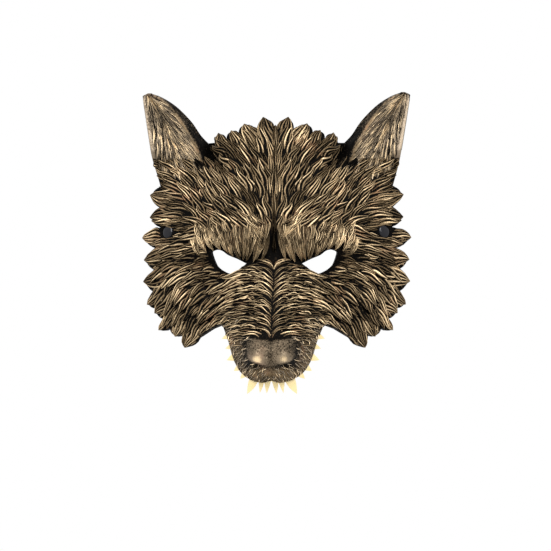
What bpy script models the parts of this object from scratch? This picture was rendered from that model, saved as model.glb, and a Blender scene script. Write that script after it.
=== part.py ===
"""Moulded foam wolf half mask with teeth, rivets and an elastic head strap.

Metres, +Z up. The mask faces -Y. The origin is where the mask sits on the bridge of the wearer's
nose, level with the eyes. Left and right are those of someone who looks at the mask.
"""
import math
from collections import namedtuple

import bmesh
import bpy
import numpy as np
from mathutils import Vector
from mathutils.geometry import delaunay_2d_cdt

# Driving dimensions of the shell
MASK_WIDTH = 0.215
EYE_TO_EAR_TIP = 0.137
EYE_TO_LIP = 0.0955
WALL = 0.0035
FACE_WRAP = 0.046
FOREHEAD_LEAN = 0.030
MUZZLE_REACH = 0.066
BROW_RISE = 0.010
BRIDGE_RISE = 0.005
CHEEK_RISE = 0.006
SOCKET_DEPTH = 0.007
EAR_BOWL_DEPTH = 0.009
EAR_ROOT_SETBACK = 0.030
EAR_LEAN = 0.012
NOSE_RISE = 0.0062
LOCK_RELIEF = 0.0030
TUFT_BULGE = 0.0016

# Strap, rivets and teeth
STRAP_HOLE_ACROSS_SHARE = 0.8074
STRAP_HOLE_UP_SHARE = 0.1803
STRAP_HOLE_SPACING = MASK_WIDTH * STRAP_HOLE_ACROSS_SHARE
STRAP_HOLE_HEIGHT = EYE_TO_EAR_TIP * STRAP_HOLE_UP_SHARE
RECESS_RADIUS = 0.0054
RECESS_DEPTH = 0.0017
POST_RADIUS = 0.0018
RIVET_PLATE_RADIUS = 0.0044
RIVET_PLATE_THICKNESS = 0.0012
RIVET_DOME_RISE = 0.0010
RIVET_RIM_SINK = 0.0002
RIVET_DOME_STEPS = 5
FIT_GAP = 0.0003
STRAP_WIDTH = 0.010
STRAP_THICKNESS = 0.0015
STRAP_SEAT_GAP = 0.0005
STRAP_END_MARGIN = 0.003
STRAP_BEND_REACH = 0.007
STRAP_BEND_OUT = 0.0025
STRAP_BEND_BACK = 0.016
STRAP_QUARTER_STEPS = 14
HEAD_HALF_WIDTH = 0.079
HEAD_MIDDLE_BEHIND = 0.098
HEAD_BACK_BEHIND = 0.190
TOOTH_STRIP_THICKNESS = 0.0016
TOOTH_STRIP_HEIGHT = 0.006
TOOTH_STRIP_GAP = 0.0007
TOOTH_STRIP_LIP = 0.0018
TOOTH_GROWTH = 0.0020
TOOTH_SPLAY = 0.75
TOOTH_STATIONS = 6
LIP_WAY_REACH = 0.012

# Mesh spacing
FRONT_SPACING = 0.0065
FINE_SPACING = 0.0040
BACK_SPACING = 0.0080
POINT_CLEARANCE = 0.0013
RING_SIDES = 20
EDGE_STEPS = 2
LIP_STEPS = 4
HEX_ROW_STEP = math.sqrt(3) / 2
FINE_KEEP = 0.7
COARSE_KEEP = 0.6
EDGE_KEEP = 0.8
SLOPE_STEP = 0.0008
CUTTER_IN_FRONT = 0.002
CUTTER_BEHIND = 0.006

HALF_WIDTH = MASK_WIDTH / 2

# Across is a share of the half width. Up is a share of the height over the eyes to the ear tip,
# and below zero a share of the height from the eyes down to the lip.
Place = namedtuple("Place", "across up")
Tuft = namedtuple("Tuft", "tip_across tip_up valley_across valley_up")
Section = namedtuple("Section", "down value")

CROWN_MIDDLE = Place(0.000, 0.792)
CROWN_TUFTS = (
    Tuft(0.093, 0.850, 0.137, 0.776),
    Tuft(0.233, 0.811, 0.278, 0.758),
    Tuft(0.330, 0.770, 0.367, 0.725),
    Tuft(0.426, 0.757, 0.462, 0.706),
)
EAR_INNER_EDGE = (
    Place(0.511, 0.709),
    Place(0.567, 0.756),
    Place(0.627, 0.826),
    Place(0.693, 0.884),
    Place(0.767, 0.936),
    Place(0.852, 0.977),
    Place(0.925, 0.998),
)
EAR_TIP = Place(0.974, 1.000)
EAR_OUTER_EDGE = (
    Place(0.996, 0.959),
    Place(0.974, 0.843),
    Place(0.948, 0.715),
    Place(0.922, 0.593),
    Place(0.874, 0.455),
)
SIDE_TUFTS = (
    Tuft(0.944, 0.404, 0.840, 0.343),
    Tuft(0.941, 0.270, 0.867, 0.210),
    Tuft(1.000, 0.151, 0.893, 0.084),
    Tuft(0.984, 0.020, 0.896, -0.067),
    Tuft(0.989, -0.154, 0.885, -0.262),
    Tuft(0.956, -0.350, 0.878, -0.378),
    Tuft(0.893, -0.425, 0.803, -0.478),
    Tuft(0.859, -0.567, 0.785, -0.545),
    Tuft(0.726, -0.621, 0.681, -0.592),
    Tuft(0.652, -0.713, 0.560, -0.640),
)
CHEEK_LOWER_EDGE = (
    Place(0.452, -0.562),
    Place(0.386, -0.528),
)
LIP_EDGE = (
    Place(0.359, -0.554),
    Place(0.319, -0.667),
    Place(0.289, -0.783),
    Place(0.255, -0.868),
    Place(0.211, -0.931),
    Place(0.148, -0.976),
    Place(0.066, -1.000),
)
LIP_MIDDLE = Place(0.000, -0.983)
EYE_HOLE = (
    Place(0.204, -0.025),
    Place(0.267, 0.009),
    Place(0.337, 0.032),
    Place(0.378, 0.055),
    Place(0.419, 0.062),
    Place(0.461, 0.045),
    Place(0.448, 0.009),
    Place(0.415, -0.042),
    Place(0.370, -0.083),
    Place(0.307, -0.108),
    Place(0.248, -0.062),
)
# Tips of the fur that overlaps the root of the ear
EAR_ROOT_TIPS = (
    Place(0.585, 0.560),
    Place(0.680, 0.560),
    Place(0.780, 0.505),
)

# Share of the muzzle's reach at each share of the way down, and its half width in half widths
MUZZLE_PROFILE = (
    Section(-0.10, 0.00),
    Section(0.00, 0.07),
    Section(0.15, 0.22),
    Section(0.32, 0.46),
    Section(0.50, 0.72),
    Section(0.63, 0.89),
    Section(0.74, 0.99),
    Section(0.86, 1.00),
    Section(0.94, 0.95),
    Section(1.04, 0.86),
)
MUZZLE_HALF_WIDTHS = (
    Section(-0.10, 0.17),
    Section(0.00, 0.20),
    Section(0.25, 0.28),
    Section(0.52, 0.36),
    Section(0.67, 0.33),
    Section(0.78, 0.305),
    Section(0.87, 0.285),
    Section(1.04, 0.26),
)

# How the face wraps back to the sides and leans back to the crown
WRAP_POWER = 2.2
LEAN_POWER = 1.8
CROWN_UP = 0.8
CROWN_LEAN = 1.2

# Round swellings: where across and up they lie, and how far they reach each way. Across sizes are
# shares of the half width, up sizes shares of the height from the eyes to the ear tip.
Swelling = namedtuple("Swelling", "across across_size up up_size")
BROW = Swelling(0.33, 0.26, 0.135, 0.124)
BRIDGE = Swelling(0.00, 0.22, 0.180, 0.161)
SOCKET = Swelling(0.33, 0.17, -0.021, 0.062)
CHEEK = Swelling(0.62, 0.22, -0.314, 0.182)

# The muzzle's roundness, and the crease along its top in shares of its reach and of the way down
MUZZLE_ROUNDNESS = 3.2
CREASE_DEPTH = 0.02
CREASE_HALF_WIDTH = 0.02
CREASE_DEEP_DOWN = 0.15
CREASE_FADE_DOWN = 0.55
CREASE_END_DOWN = 0.64

# The nose: lobes and pad, as places and sizes across and down, and the pad's share of the rise
NoseForm = namedtuple("NoseForm", "across across_size down down_size")
NOSE_LOBE = NoseForm(0.080, 0.105, 0.745, 0.105)
NOSE_PAD = NoseForm(0.000, 0.070, 0.880, 0.075)
NOSE_PAD_SHARE = 0.4
NOSE_START_DOWN = 0.5

# The ear: how it grows out of the fur, and its bowl in shares of its span from edge to edge
EAR_INNER_SLOPE = 0.55
EAR_FADE_START = 0.10
EAR_FADE_END = 0.01
EAR_START_UP = 0.46
EAR_FULL_UP = 0.66
EAR_MIDDLE_UP = 0.5
EAR_LEAST_SPAN = 0.05
EAR_FULL_SPAN = 0.40
EAR_BOWL_SHARE = 0.74
EAR_BOWL_POWER = 1.5
EAR_FALL_SHARE = 0.78
EAR_FALL_DEPTH = 1.1

# The lock's form in shares of its length, its half width and its relief
LOCK_ROOT_WIDTH = 0.55
LOCK_WIDENING = 1.3
LOCK_POINT_POWER = 3
LOCK_ROOT_RISE = 0.25
LOCK_CREST_SHARE = 0.7
LOCK_FALL_SHARE = 0.75
LOCK_TIP_FALL = 0.45
LOCK_MESH_SHARES = (0.3, 0.65)
LOCK_SIDE_SHARE = 0.97
LOCK_CLEAR_SHARE = 0.6
LOCK_INNER_CLEARANCE = 0.3
FUR_HANG = 0.5

# Where the fur and the fine mesh end, in muzzle half widths, and the flat ring in recess radii
FUR_MUZZLE_GAP = 1.05
FUR_MUZZLE_TOP = -0.05
FINE_MUZZLE_REACH = 1.2
FLAT_RING_INNER = 1.15
FLAT_RING_OUTER = 2.0

# Rows of locks between the focus of the fur and the outline, as shares of the way out
LockRow = namedtuple("LockRow", "out length half_width shifted")
LOCK_ROWS = (
    LockRow(1.00, 0.21, 0.078, False),
    LockRow(0.87, 0.21, 0.070, True),
    LockRow(0.75, 0.20, 0.062, False),
    LockRow(0.63, 0.18, 0.054, True),
    LockRow(0.52, 0.17, 0.047, False),
    LockRow(0.42, 0.15, 0.040, True),
)
FUR_FOCUS_UP = 0.06
EYE_MARGIN = 0.006

# Teeth from the corner of the lip to the middle: where along the lip, how long, how wide
Tooth = namedtuple("Tooth", "along length width")
TEETH = (
    Tooth(0.10, 0.0058, 0.0060),
    Tooth(0.23, 0.0062, 0.0064),
    Tooth(0.37, 0.0082, 0.0078),
    Tooth(0.50, 0.0066, 0.0066),
    Tooth(0.60, 0.0060, 0.0056),
    Tooth(0.73, 0.0105, 0.0078),
    Tooth(0.85, 0.0062, 0.0062),
    Tooth(0.95, 0.0066, 0.0056),
)
STRIP_END = 0.02
TOOTH_POINT_POWER = 0.85
STRIP_FOOT_SHARE = 0.6
# How far down and how far outward the front, the point and the back of a tooth run
ToothCorner = namedtuple("ToothCorner", "down splay")
TOOTH_FRONT = ToothCorner(0.3, 0.3)
TOOTH_POINT = ToothCorner(0.6, 1.0)
TOOTH_BACK = ToothCorner(0.2, 0.1)


def place_x(place):
    """Distance from the middle plane."""
    return place.across * HALF_WIDTH


def place_z(place):
    """Height over the eyes."""
    return up_to_height(place.up)


def up_to_height(up):
    """A share of the height as metres over the eyes."""
    return up * (EYE_TO_EAR_TIP if up > 0 else EYE_TO_LIP)


def smooth_step(low, high, value):
    """0 below low, 1 above high and a smooth rise between."""
    share = min(max((value - low) / (high - low), 0.0), 1.0)
    return share * share * (3.0 - 2.0 * share)


def bump(value, middle, half_size):
    """A round bump of height 1 over one length."""
    return math.exp(-((value - middle) / half_size) ** 2)


def plateau(value, middle, half_size):
    """A bump of height 1 with a flat top and steeper sides."""
    return math.exp(-((value - middle) / half_size) ** 4)


def smooth_table(sections, at):
    """Value of a table of sections at a place, along a smooth curve through its rows."""
    downs = [row.down for row in sections]
    values = [row.value for row in sections]
    if at <= downs[0]:
        return values[0]
    if at >= downs[-1]:
        return values[-1]
    index = max(i for i in range(len(downs) - 1) if downs[i] <= at)
    before = max(index - 1, 0)
    after = min(index + 2, len(downs) - 1)
    span = downs[index + 1] - downs[index]
    slope_in = (values[index + 1] - values[before]) / (downs[index + 1] - downs[before])
    slope_out = (values[after] - values[index]) / (downs[after] - downs[index])
    t = (at - downs[index]) / span
    keep = 2 * t ** 3 - 3 * t ** 2 + 1
    turn_in = t ** 3 - 2 * t ** 2 + t
    turn_out = t ** 3 - t ** 2
    return (keep * values[index] + turn_in * span * slope_in
            + (1 - keep) * values[index + 1] + turn_out * span * slope_out)


def swelling(form, across, z):
    """Share of a round swelling's rise at a place."""
    up_size = form.up_size * EYE_TO_EAR_TIP
    return bump(across, form.across, form.across_size) * bump(z, up_to_height(form.up), up_size)


def edge_across(edge, up):
    """How far across an ear's edge lies at a height, from its table."""
    ups = [row.up for row in edge]
    acrosses = [row.across for row in edge]
    if ups[0] > ups[-1]:
        ups.reverse()
        acrosses.reverse()
    return float(np.interp(up, ups, acrosses))


def muzzle_reach(across, down):
    """How far the muzzle stands out of the face."""
    half_width = smooth_table(MUZZLE_HALF_WIDTHS, down)
    rounding = 1.0 / (1.0 + (across / half_width) ** MUZZLE_ROUNDNESS)
    crease = CREASE_DEPTH * bump(across, 0.0, CREASE_HALF_WIDTH) * smooth_step(0.0, CREASE_DEEP_DOWN, down)
    crease *= 1.0 - smooth_step(CREASE_FADE_DOWN, CREASE_END_DOWN, down)
    return MUZZLE_REACH * (smooth_table(MUZZLE_PROFILE, down) * rounding - crease)


def ear_inner(up):
    """How far across the ear's inner edge lies, also under the outline's own inner edge."""
    return edge_across(EAR_INNER_EDGE, up) - max(EAR_INNER_EDGE[0].up - up, 0.0) * EAR_INNER_SLOPE


def ear_turn(across, up):
    """1 on the ear, 0 on the fur round its root."""
    inner = ear_inner(up)
    side = smooth_step(inner - EAR_FADE_START, inner - EAR_FADE_END, across)
    return side * smooth_step(EAR_START_UP, EAR_FULL_UP, up)


def ear_bowl(across, up):
    """How far the ear's front stands out: an edge, a bowl and a rim that falls back inside."""
    outer = edge_across(EAR_OUTER_EDGE, up)
    span = max(outer - ear_inner(up), EAR_LEAST_SPAN)
    share = min(max((outer - across) / span, 0.0), 1.0)
    size = min(span / EAR_FULL_SPAN, 1.0)
    bowl = math.sin(math.pi * min(share / EAR_BOWL_SHARE, 1.0)) ** EAR_BOWL_POWER
    fall = EAR_FALL_DEPTH * smooth_step(EAR_FALL_SHARE, 1.0, share)
    return -EAR_BOWL_DEPTH * size * (bowl + fall)


def nose_rise(across, down):
    """The nose leather: two round lobes and the narrow pad under them."""
    lobe, pad = (
        plateau(across, form.across, form.across_size) * plateau(down, form.down, form.down_size)
        for form in (NOSE_LOBE, NOSE_PAD)
    )
    return NOSE_RISE * (lobe + NOSE_PAD_SHARE * pad)


def form_depth(x, z, with_nose=True):
    """How far forward of the origin the smooth form lies at x and z."""
    across = abs(x) / HALF_WIDTH
    up = max(z, 0.0) / EYE_TO_EAR_TIP
    down = -z / EYE_TO_LIP
    wrap = FACE_WRAP * across ** WRAP_POWER
    lean = FOREHEAD_LEAN * (min(up / CROWN_UP, 1.0) ** LEAN_POWER + CROWN_LEAN * max(up - CROWN_UP, 0.0))
    raised = BROW_RISE * swelling(BROW, across, z) + BRIDGE_RISE * swelling(BRIDGE, across, z)
    raised += CHEEK_RISE * swelling(CHEEK, across, z)
    depth = raised - wrap - lean - SOCKET_DEPTH * swelling(SOCKET, across, z)
    if down > MUZZLE_PROFILE[0].down:
        depth += muzzle_reach(across, down)
    turn = ear_turn(across, up)
    if turn > 0.0:
        ear = ear_bowl(across, up) - EAR_ROOT_SETBACK - EAR_LEAN * (up - EAR_MIDDLE_UP)
        depth += (ear - depth) * turn
    if with_nose and down > NOSE_START_DOWN:
        depth += nose_rise(across, down)
    return depth


def form_point(x, z, with_nose=True):
    """A point of the smooth form."""
    return Vector((x, -form_depth(x, z, with_nose), z))


def form_normal(x, z, with_nose=True):
    """The direction that points out of the form's front."""
    step = SLOPE_STEP
    slope_x = (form_depth(x + step, z, with_nose) - form_depth(x - step, z, with_nose)) / (2 * step)
    slope_z = (form_depth(x, z + step, with_nose) - form_depth(x, z - step, with_nose)) / (2 * step)
    return Vector((-slope_x, -1.0, -slope_z)).normalized()


def spot(place, side=1):
    """A place of a table as x and z."""
    return Vector((side * place_x(place), place_z(place)))


def tuft_points(start, tuft):
    """The outline of one tuft from the valley before it: a rounded side, the tip, the other side."""
    tip = spot(Place(tuft.tip_across, tuft.tip_up))
    end = spot(Place(tuft.valley_across, tuft.valley_up))
    points = []
    for first, last in ((start, tip), (tip, end)):
        along = last - first
        outward = Vector((-along.y, along.x)).normalized()
        points.append(first + along * 0.5 + outward * TUFT_BULGE)
        points.append(last)
    return points


def smooth_run(points, steps):
    """A smooth curve through points, with a number of steps to each stretch."""
    run = []
    for index in range(len(points) - 1):
        before = points[max(index - 1, 0)]
        first = points[index]
        last = points[index + 1]
        after = points[min(index + 2, len(points) - 1)]
        for step in range(steps):
            t = step / steps
            turn = first * 2 + (last - before) * t + (before * 2 - first * 5 + last * 4 - after) * t ** 2
            run.append((turn + (first * 3 - before - last * 3 + after) * t ** 3) / 2)
    return run + [points[-1]]


def lip_run():
    """The right half of the lip's edge, from the corner at the cheek to the middle."""
    return smooth_run([spot(row) for row in LIP_EDGE + (LIP_MIDDLE,)], LIP_STEPS)


def half_outline():
    """The right half of the outline, from the middle of the crown down to the middle of the lip."""
    points = [spot(CROWN_MIDDLE)]
    for tuft in CROWN_TUFTS:
        points += tuft_points(points[-1], tuft)
    points += smooth_run([spot(row) for row in EAR_INNER_EDGE + (EAR_TIP,) + EAR_OUTER_EDGE], EDGE_STEPS)
    for tuft in SIDE_TUFTS:
        points += tuft_points(points[-1], tuft)
    points += [spot(row) for row in CHEEK_LOWER_EDGE]
    return points + lip_run()


def mirrored(points):
    """Points on the other side of the middle plane, in reverse order."""
    return [Vector((-point.x, point.y)) for point in reversed(points)]


def whole_outline():
    """The closed outline, clockwise as the viewer sees it."""
    right = half_outline()
    return right + mirrored(right)[1:-1]


def eye_outline(side):
    """The closed outline of one eye hole."""
    return smooth_run([spot(row, side) for row in EYE_HOLE + EYE_HOLE[:1]], EDGE_STEPS)[:-1]


class StrapHole:
    """The place of one strap hole: its centre on the form, its axis and two directions across."""

    def __init__(self, side):
        self.side = side
        x = side * STRAP_HOLE_SPACING / 2
        self.centre = form_point(x, STRAP_HOLE_HEIGHT)
        self.axis = form_normal(x, STRAP_HOLE_HEIGHT)
        self.along = Vector((0, 0, 1)).cross(self.axis).normalized()
        self.across = self.axis.cross(self.along)

    def ring(self, radius, depth):
        """Points round the axis at a radius, a depth behind the front."""
        points = []
        for index in range(RING_SIDES):
            angle = 2 * math.pi * index / RING_SIDES
            sideways = self.along * math.cos(angle) + self.across * math.sin(angle)
            points.append(self.centre + sideways * radius - self.axis * depth)
        return points

    def flat_share(self, x, z):
        """1 at the hole and 0 on the fur round it."""
        distance = math.hypot(x - self.centre.x, z - self.centre.z)
        return 1.0 - smooth_step(FLAT_RING_INNER, FLAT_RING_OUTER, distance / RECESS_RADIUS)


HOLES = (StrapHole(-1), StrapHole(1))


def flat_ring(hole, radius, depth):
    """A ring of a strap hole as the viewer sees it."""
    return [Vector((point.x, point.z)) for point in hole.ring(radius, depth)]


class Lock:
    """One pointed lock of fur, as a ridge that rises from its root to its tip."""

    def __init__(self, tip, direction, length, half_width):
        self.tip = tip
        self.direction = direction
        self.root = tip - direction * length
        self.length = length
        self.half_width = half_width
        self.side = Vector((-direction.y, direction.x))

    def width_at(self, share):
        """Half width at a share of the way to the tip."""
        widening = min(LOCK_ROOT_WIDTH + LOCK_WIDENING * share, 1.0)
        return self.half_width * widening * (1.0 - share ** LOCK_POINT_POWER)

    def height(self, point):
        """Relief of the lock over a point of the form."""
        offset = point - self.root
        share = offset.dot(self.direction) / self.length
        if share <= 0.0 or share >= 1.0:
            return 0.0
        sideways = abs(offset.dot(self.side)) / max(self.width_at(share), 1e-5)
        if sideways >= 1.0:
            return 0.0
        rise = LOCK_ROOT_RISE + (1.0 - LOCK_ROOT_RISE) * min(share / LOCK_CREST_SHARE, 1.0)
        rise *= 1.0 - LOCK_TIP_FALL * smooth_step(LOCK_FALL_SHARE, 1.0, share)
        return LOCK_RELIEF * rise * (1.0 - sideways ** 2)

    def mesh_points(self):
        """Points on the crest and at both sides, and one just past the tip."""
        step = self.direction * POINT_CLEARANCE
        points = [self.tip + step, self.tip - step * LOCK_INNER_CLEARANCE]
        for share in LOCK_MESH_SHARES:
            crest = self.root + self.direction * self.length * share
            points.append(crest)
            for sign in (-1, 1):
                points.append(crest + self.side * sign * self.width_at(share) * LOCK_SIDE_SHARE)
        return points


def lock_direction(tip):
    """The fur streams out from a focus between the brows, and hangs lower on the lower cheeks."""
    focus = Vector((0.0, up_to_height(FUR_FOCUS_UP)))
    direction = (tip - focus).normalized()
    if tip.y < 0.0:
        hang = min(-tip.y / EYE_TO_LIP, 1.0) * FUR_HANG
        direction = (direction + Vector((0.0, -hang))).normalized()
    return direction


def outer_tips():
    """Tips of the outermost locks on the right half, round from the crown to the lower cheek."""
    tips = [spot(Place(row.tip_across, row.tip_up)) for row in CROWN_TUFTS]
    tips += [spot(row) for row in EAR_ROOT_TIPS]
    tips += [spot(Place(row.tip_across, row.tip_up)) for row in SIDE_TUFTS]
    return tips


def clear_of_features(point):
    """True where fur may grow: off the eye holes, the muzzle and the strap holes."""
    across = abs(point.x) / HALF_WIDTH
    down = -point.y / EYE_TO_LIP
    if down > FUR_MUZZLE_TOP and across < smooth_table(MUZZLE_HALF_WIDTHS, down) * FUR_MUZZLE_GAP:
        return False
    folded = Vector((abs(point.x), point.y))
    if distance_to_loop(folded, eye_outline(1)) < EYE_MARGIN or inside(folded, eye_outline(1)):
        return False
    return all(hole.flat_share(point.x, point.y) < 0.5 for hole in HOLES)


def all_locks():
    """Every lock of the relief, both halves."""
    focus = Vector((0.0, up_to_height(FUR_FOCUS_UP)))
    tips = outer_tips()
    locks = []
    for row in LOCK_ROWS:
        row_tips = list(tips)
        if row.shifted:
            middle_tip = Vector((0.0, tips[0].y))
            row_tips = [middle_tip] + [(first + second) / 2 for first, second in zip(tips, tips[1:])]
        for tip in row_tips:
            place = focus + (tip - focus) * row.out
            direction = lock_direction(place)
            length = row.length * HALF_WIDTH
            half_width = row.half_width * HALF_WIDTH
            inner_place = place - direction * length * LOCK_CLEAR_SHARE
            if clear_of_features(place) and clear_of_features(inner_place):
                locks.append(Lock(place, direction, length, half_width))
                if place.x > 0.0:
                    flipped = Vector((-place.x, place.y))
                    locks.append(Lock(flipped, Vector((-direction.x, direction.y)), length, half_width))
    return locks


def relief(point, locks):
    """Height of the fur over the form at a point."""
    height = max((lock.height(point) for lock in locks), default=0.0)
    for hole in HOLES:
        height *= 1.0 - hole.flat_share(point.x, point.y)
    return height


def inside(point, loop):
    """True if a point lies inside a closed loop."""
    hits = False
    for first, second in zip(loop, loop[1:] + loop[:1]):
        if (first.y > point.y) != (second.y > point.y):
            share = (point.y - first.y) / (second.y - first.y)
            if point.x < first.x + share * (second.x - first.x):
                hits = not hits
    return hits


def distance_to_loop(point, loop):
    """Distance from a point to a closed loop."""
    best = 1.0
    for first, second in zip(loop, loop[1:] + loop[:1]):
        along = second - first
        share = min(max((point - first).dot(along) / along.length_squared, 0.0), 1.0)
        best = min(best, (point - first - along * share).length)
    return best


class PointField:
    """Points of a sheet that keep clear of its edges and of each other."""

    def __init__(self, loops):
        self.loops = loops
        self.points = []
        self.cells = {}

    def near(self, point, gap):
        """True if a kept point lies within the gap."""
        reach = int(gap / FINE_SPACING) + 1
        column = int(point.x // FINE_SPACING)
        row = int(point.y // FINE_SPACING)
        for i in range(column - reach, column + reach + 1):
            for j in range(row - reach, row + reach + 1):
                for other in self.cells.get((i, j), ()):
                    if (point - other).length < gap:
                        return True
        return False

    def add(self, point, gap):
        """Keep a point if it lies on the sheet and nothing is within the gap."""
        if not inside(point, self.loops[0]) or any(inside(point, loop) for loop in self.loops[1:]):
            return
        edge_gap = min(distance_to_loop(point, loop) for loop in self.loops)
        if edge_gap < gap * EDGE_KEEP or self.near(point, gap):
            return
        self.points.append(point)
        cell = (int(point.x // FINE_SPACING), int(point.y // FINE_SPACING))
        self.cells.setdefault(cell, []).append(point)

    def fill(self, spacing):
        """Fill the sheet with points, closer together on the muzzle."""
        for point in hex_points(FINE_SPACING):
            if needs_fine_mesh(point):
                self.add(point, FINE_SPACING * FINE_KEEP)
        for point in hex_points(spacing):
            self.add(point, spacing * COARSE_KEEP)


def hex_points(spacing):
    """A field of points over the whole mask, in rows that are shifted by half a step."""
    rows = int((EYE_TO_EAR_TIP + EYE_TO_LIP) / (spacing * HEX_ROW_STEP)) + 2
    columns = int(HALF_WIDTH / spacing) + 2
    points = []
    for row in range(rows):
        height = row * spacing * HEX_ROW_STEP - EYE_TO_LIP
        for column in range(-columns, columns + 1):
            points.append(Vector(((column + 0.5 * (row % 2)) * spacing, height)))
    return points


def needs_fine_mesh(point):
    """True on the muzzle and the nose, whose curves are tight."""
    across = abs(point.x) / HALF_WIDTH
    down = -point.y / EYE_TO_LIP
    return down > 0.0 and across < smooth_table(MUZZLE_HALF_WIDTHS, down) * FINE_MUZZLE_REACH


def triangulate(loops, points):
    """Triangles of a sheet with holes, the loops' points first and in order."""
    coordinates = []
    edges = []
    for loop in loops:
        start = len(coordinates)
        coordinates += loop
        edges += [(start + i, start + (i + 1) % len(loop)) for i in range(len(loop))]
    coordinates += points
    result = delaunay_2d_cdt(coordinates, edges, [], 0, 1e-7)
    vertices, _, faces, origins = result[0], result[1], result[2], result[3]
    order = [origin[0] for origin in origins]
    kept = []
    for face in faces:
        middle = sum((vertices[i] for i in face), Vector((0.0, 0.0))) / 3
        if inside(middle, loops[0]) and not any(inside(middle, loop) for loop in loops[1:]):
            kept.append([order[i] for i in face])
    return coordinates, kept


def new_object(name, vertices, faces, material, smooth_angle=None):
    """A mesh object with one material."""
    mesh = bpy.data.meshes.new(name)
    mesh.from_pydata([tuple(vertex) for vertex in vertices], [], faces)
    mesh.validate()
    mesh.materials.append(material)
    if smooth_angle is not None:
        mesh.shade_smooth()
        mesh.set_sharp_from_angle(angle=smooth_angle)
    made = bpy.data.objects.new(name, mesh)
    bpy.context.collection.objects.link(made)
    return made


def new_material(name, colour, roughness, metallic):
    """A Principled material."""
    material = bpy.data.materials.new(name)
    material.use_nodes = True
    shader = material.node_tree.nodes["Principled BSDF"]
    shader.inputs["Base Color"].default_value = (*colour, 1.0)
    shader.inputs["Roughness"].default_value = roughness
    shader.inputs["Metallic"].default_value = metallic
    return material


def build_shell(material):
    """The moulded shell: a front with fur, a smooth back and walls round every edge."""
    outline = whole_outline()
    eyes = [eye_outline(-1), eye_outline(1)]
    locks = all_locks()
    rings = [flat_ring(hole, RECESS_RADIUS, 0.0) for hole in HOLES]
    front_loops = [outline] + eyes + rings
    field = PointField(front_loops)
    for lock in locks:
        for point in lock.mesh_points():
            field.add(point, POINT_CLEARANCE)
    field.fill(FRONT_SPACING)
    front_flat, front_faces = triangulate(front_loops, field.points)

    bores = [flat_ring(hole, POST_RADIUS + FIT_GAP, WALL) for hole in HOLES]
    back_loops = [outline] + eyes + bores
    back_field = PointField(back_loops)
    back_field.fill(BACK_SPACING)
    back_flat, back_faces = triangulate(back_loops, back_field.points)

    vertices = []
    for point in front_flat:
        raised = relief(point, locks)
        vertices.append(form_point(point.x, point.y) + form_normal(point.x, point.y) * raised)
    for point in back_flat:
        smooth_normal = form_normal(point.x, point.y, False)
        vertices.append(form_point(point.x, point.y, False) - smooth_normal * WALL)

    edge_count = len(outline) + len(eyes[0]) + len(eyes[1])
    back_start = len(front_flat)
    for index, hole in enumerate(HOLES):
        front_ring = edge_count + index * RING_SIDES
        back_ring = back_start + front_ring
        for step, point in enumerate(hole.ring(RECESS_RADIUS, 0.0)):
            vertices[front_ring + step] = point
        for step, point in enumerate(hole.ring(POST_RADIUS + FIT_GAP, WALL)):
            vertices[back_ring + step] = point

    faces = [list(face) for face in front_faces]
    faces += [[back_start + i for i in reversed(face)] for face in back_faces]
    start = 0
    for loop in [outline] + eyes:
        for i in range(len(loop)):
            j = (i + 1) % len(loop)
            faces += wall_between(start + i, start + j, back_start + start + i, back_start + start + j)
        start += len(loop)
    for index, hole in enumerate(HOLES):
        front_ring = edge_count + index * RING_SIDES
        back_ring = back_start + front_ring
        floor = len(vertices)
        vertices += hole.ring(RECESS_RADIUS, RECESS_DEPTH)
        bore = len(vertices)
        vertices += hole.ring(POST_RADIUS + FIT_GAP, RECESS_DEPTH)
        for i in range(RING_SIDES):
            j = (i + 1) % RING_SIDES
            for first, second in ((front_ring, floor), (floor, bore), (bore, back_ring)):
                faces += wall_between(first + i, first + j, second + i, second + j)
    shell = new_object("mask_shell", vertices, faces, material)
    face_outward(shell)
    return shell


def wall_between(front_one, front_two, back_one, back_two):
    """Two triangles between an edge of the front and the same edge of the back."""
    return [[front_one, back_one, front_two], [front_two, back_one, back_two]]


def face_outward(made):
    """Turn every face of a closed mesh outward."""
    work = bmesh.new()
    work.from_mesh(made.data)
    bmesh.ops.recalc_face_normals(work, faces=work.faces)
    work.to_mesh(made.data)
    work.free()


def build_rivet(name, hole, material):
    """A turned rivet: a domed head in the recess, a post and a plate behind the strap."""
    head_radius = RECESS_RADIUS - FIT_GAP
    head_base = RECESS_DEPTH - FIT_GAP
    strap_back = WALL + STRAP_SEAT_GAP + STRAP_THICKNESS
    plate_front = strap_back + FIT_GAP
    plate_back = plate_front + RIVET_PLATE_THICKNESS
    profile = []
    for step in range(RIVET_DOME_STEPS + 1):
        angle = math.pi / 2 * step / RIVET_DOME_STEPS
        profile.append((head_radius * math.sin(angle), RIVET_RIM_SINK - RIVET_DOME_RISE * math.cos(angle)))
    profile += [(head_radius, head_base), (POST_RADIUS, head_base)]
    profile += [(POST_RADIUS, plate_front), (RIVET_PLATE_RADIUS, plate_front)]
    profile += [(RIVET_PLATE_RADIUS, plate_back), (0.0, plate_back)]
    vertices = []
    rings = []
    for radius, depth in profile:
        if radius == 0.0:
            rings.append([len(vertices)])
            vertices.append(hole.centre - hole.axis * depth)
        else:
            rings.append(list(range(len(vertices), len(vertices) + RING_SIDES)))
            vertices += hole.ring(radius, depth)
    faces = []
    for first, second in zip(rings, rings[1:]):
        for i in range(RING_SIDES):
            j = (i + 1) % RING_SIDES
            if len(first) == 1:
                faces.append([first[0], second[i], second[j]])
            elif len(second) == 1:
                faces.append([first[i], second[0], first[j]])
            else:
                faces.append([first[i], second[i], second[j], first[j]])
    rivet = new_object(name, vertices, faces, material, math.radians(40))
    face_outward(rivet)
    return rivet


Station = namedtuple("Station", "middle upward")


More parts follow.
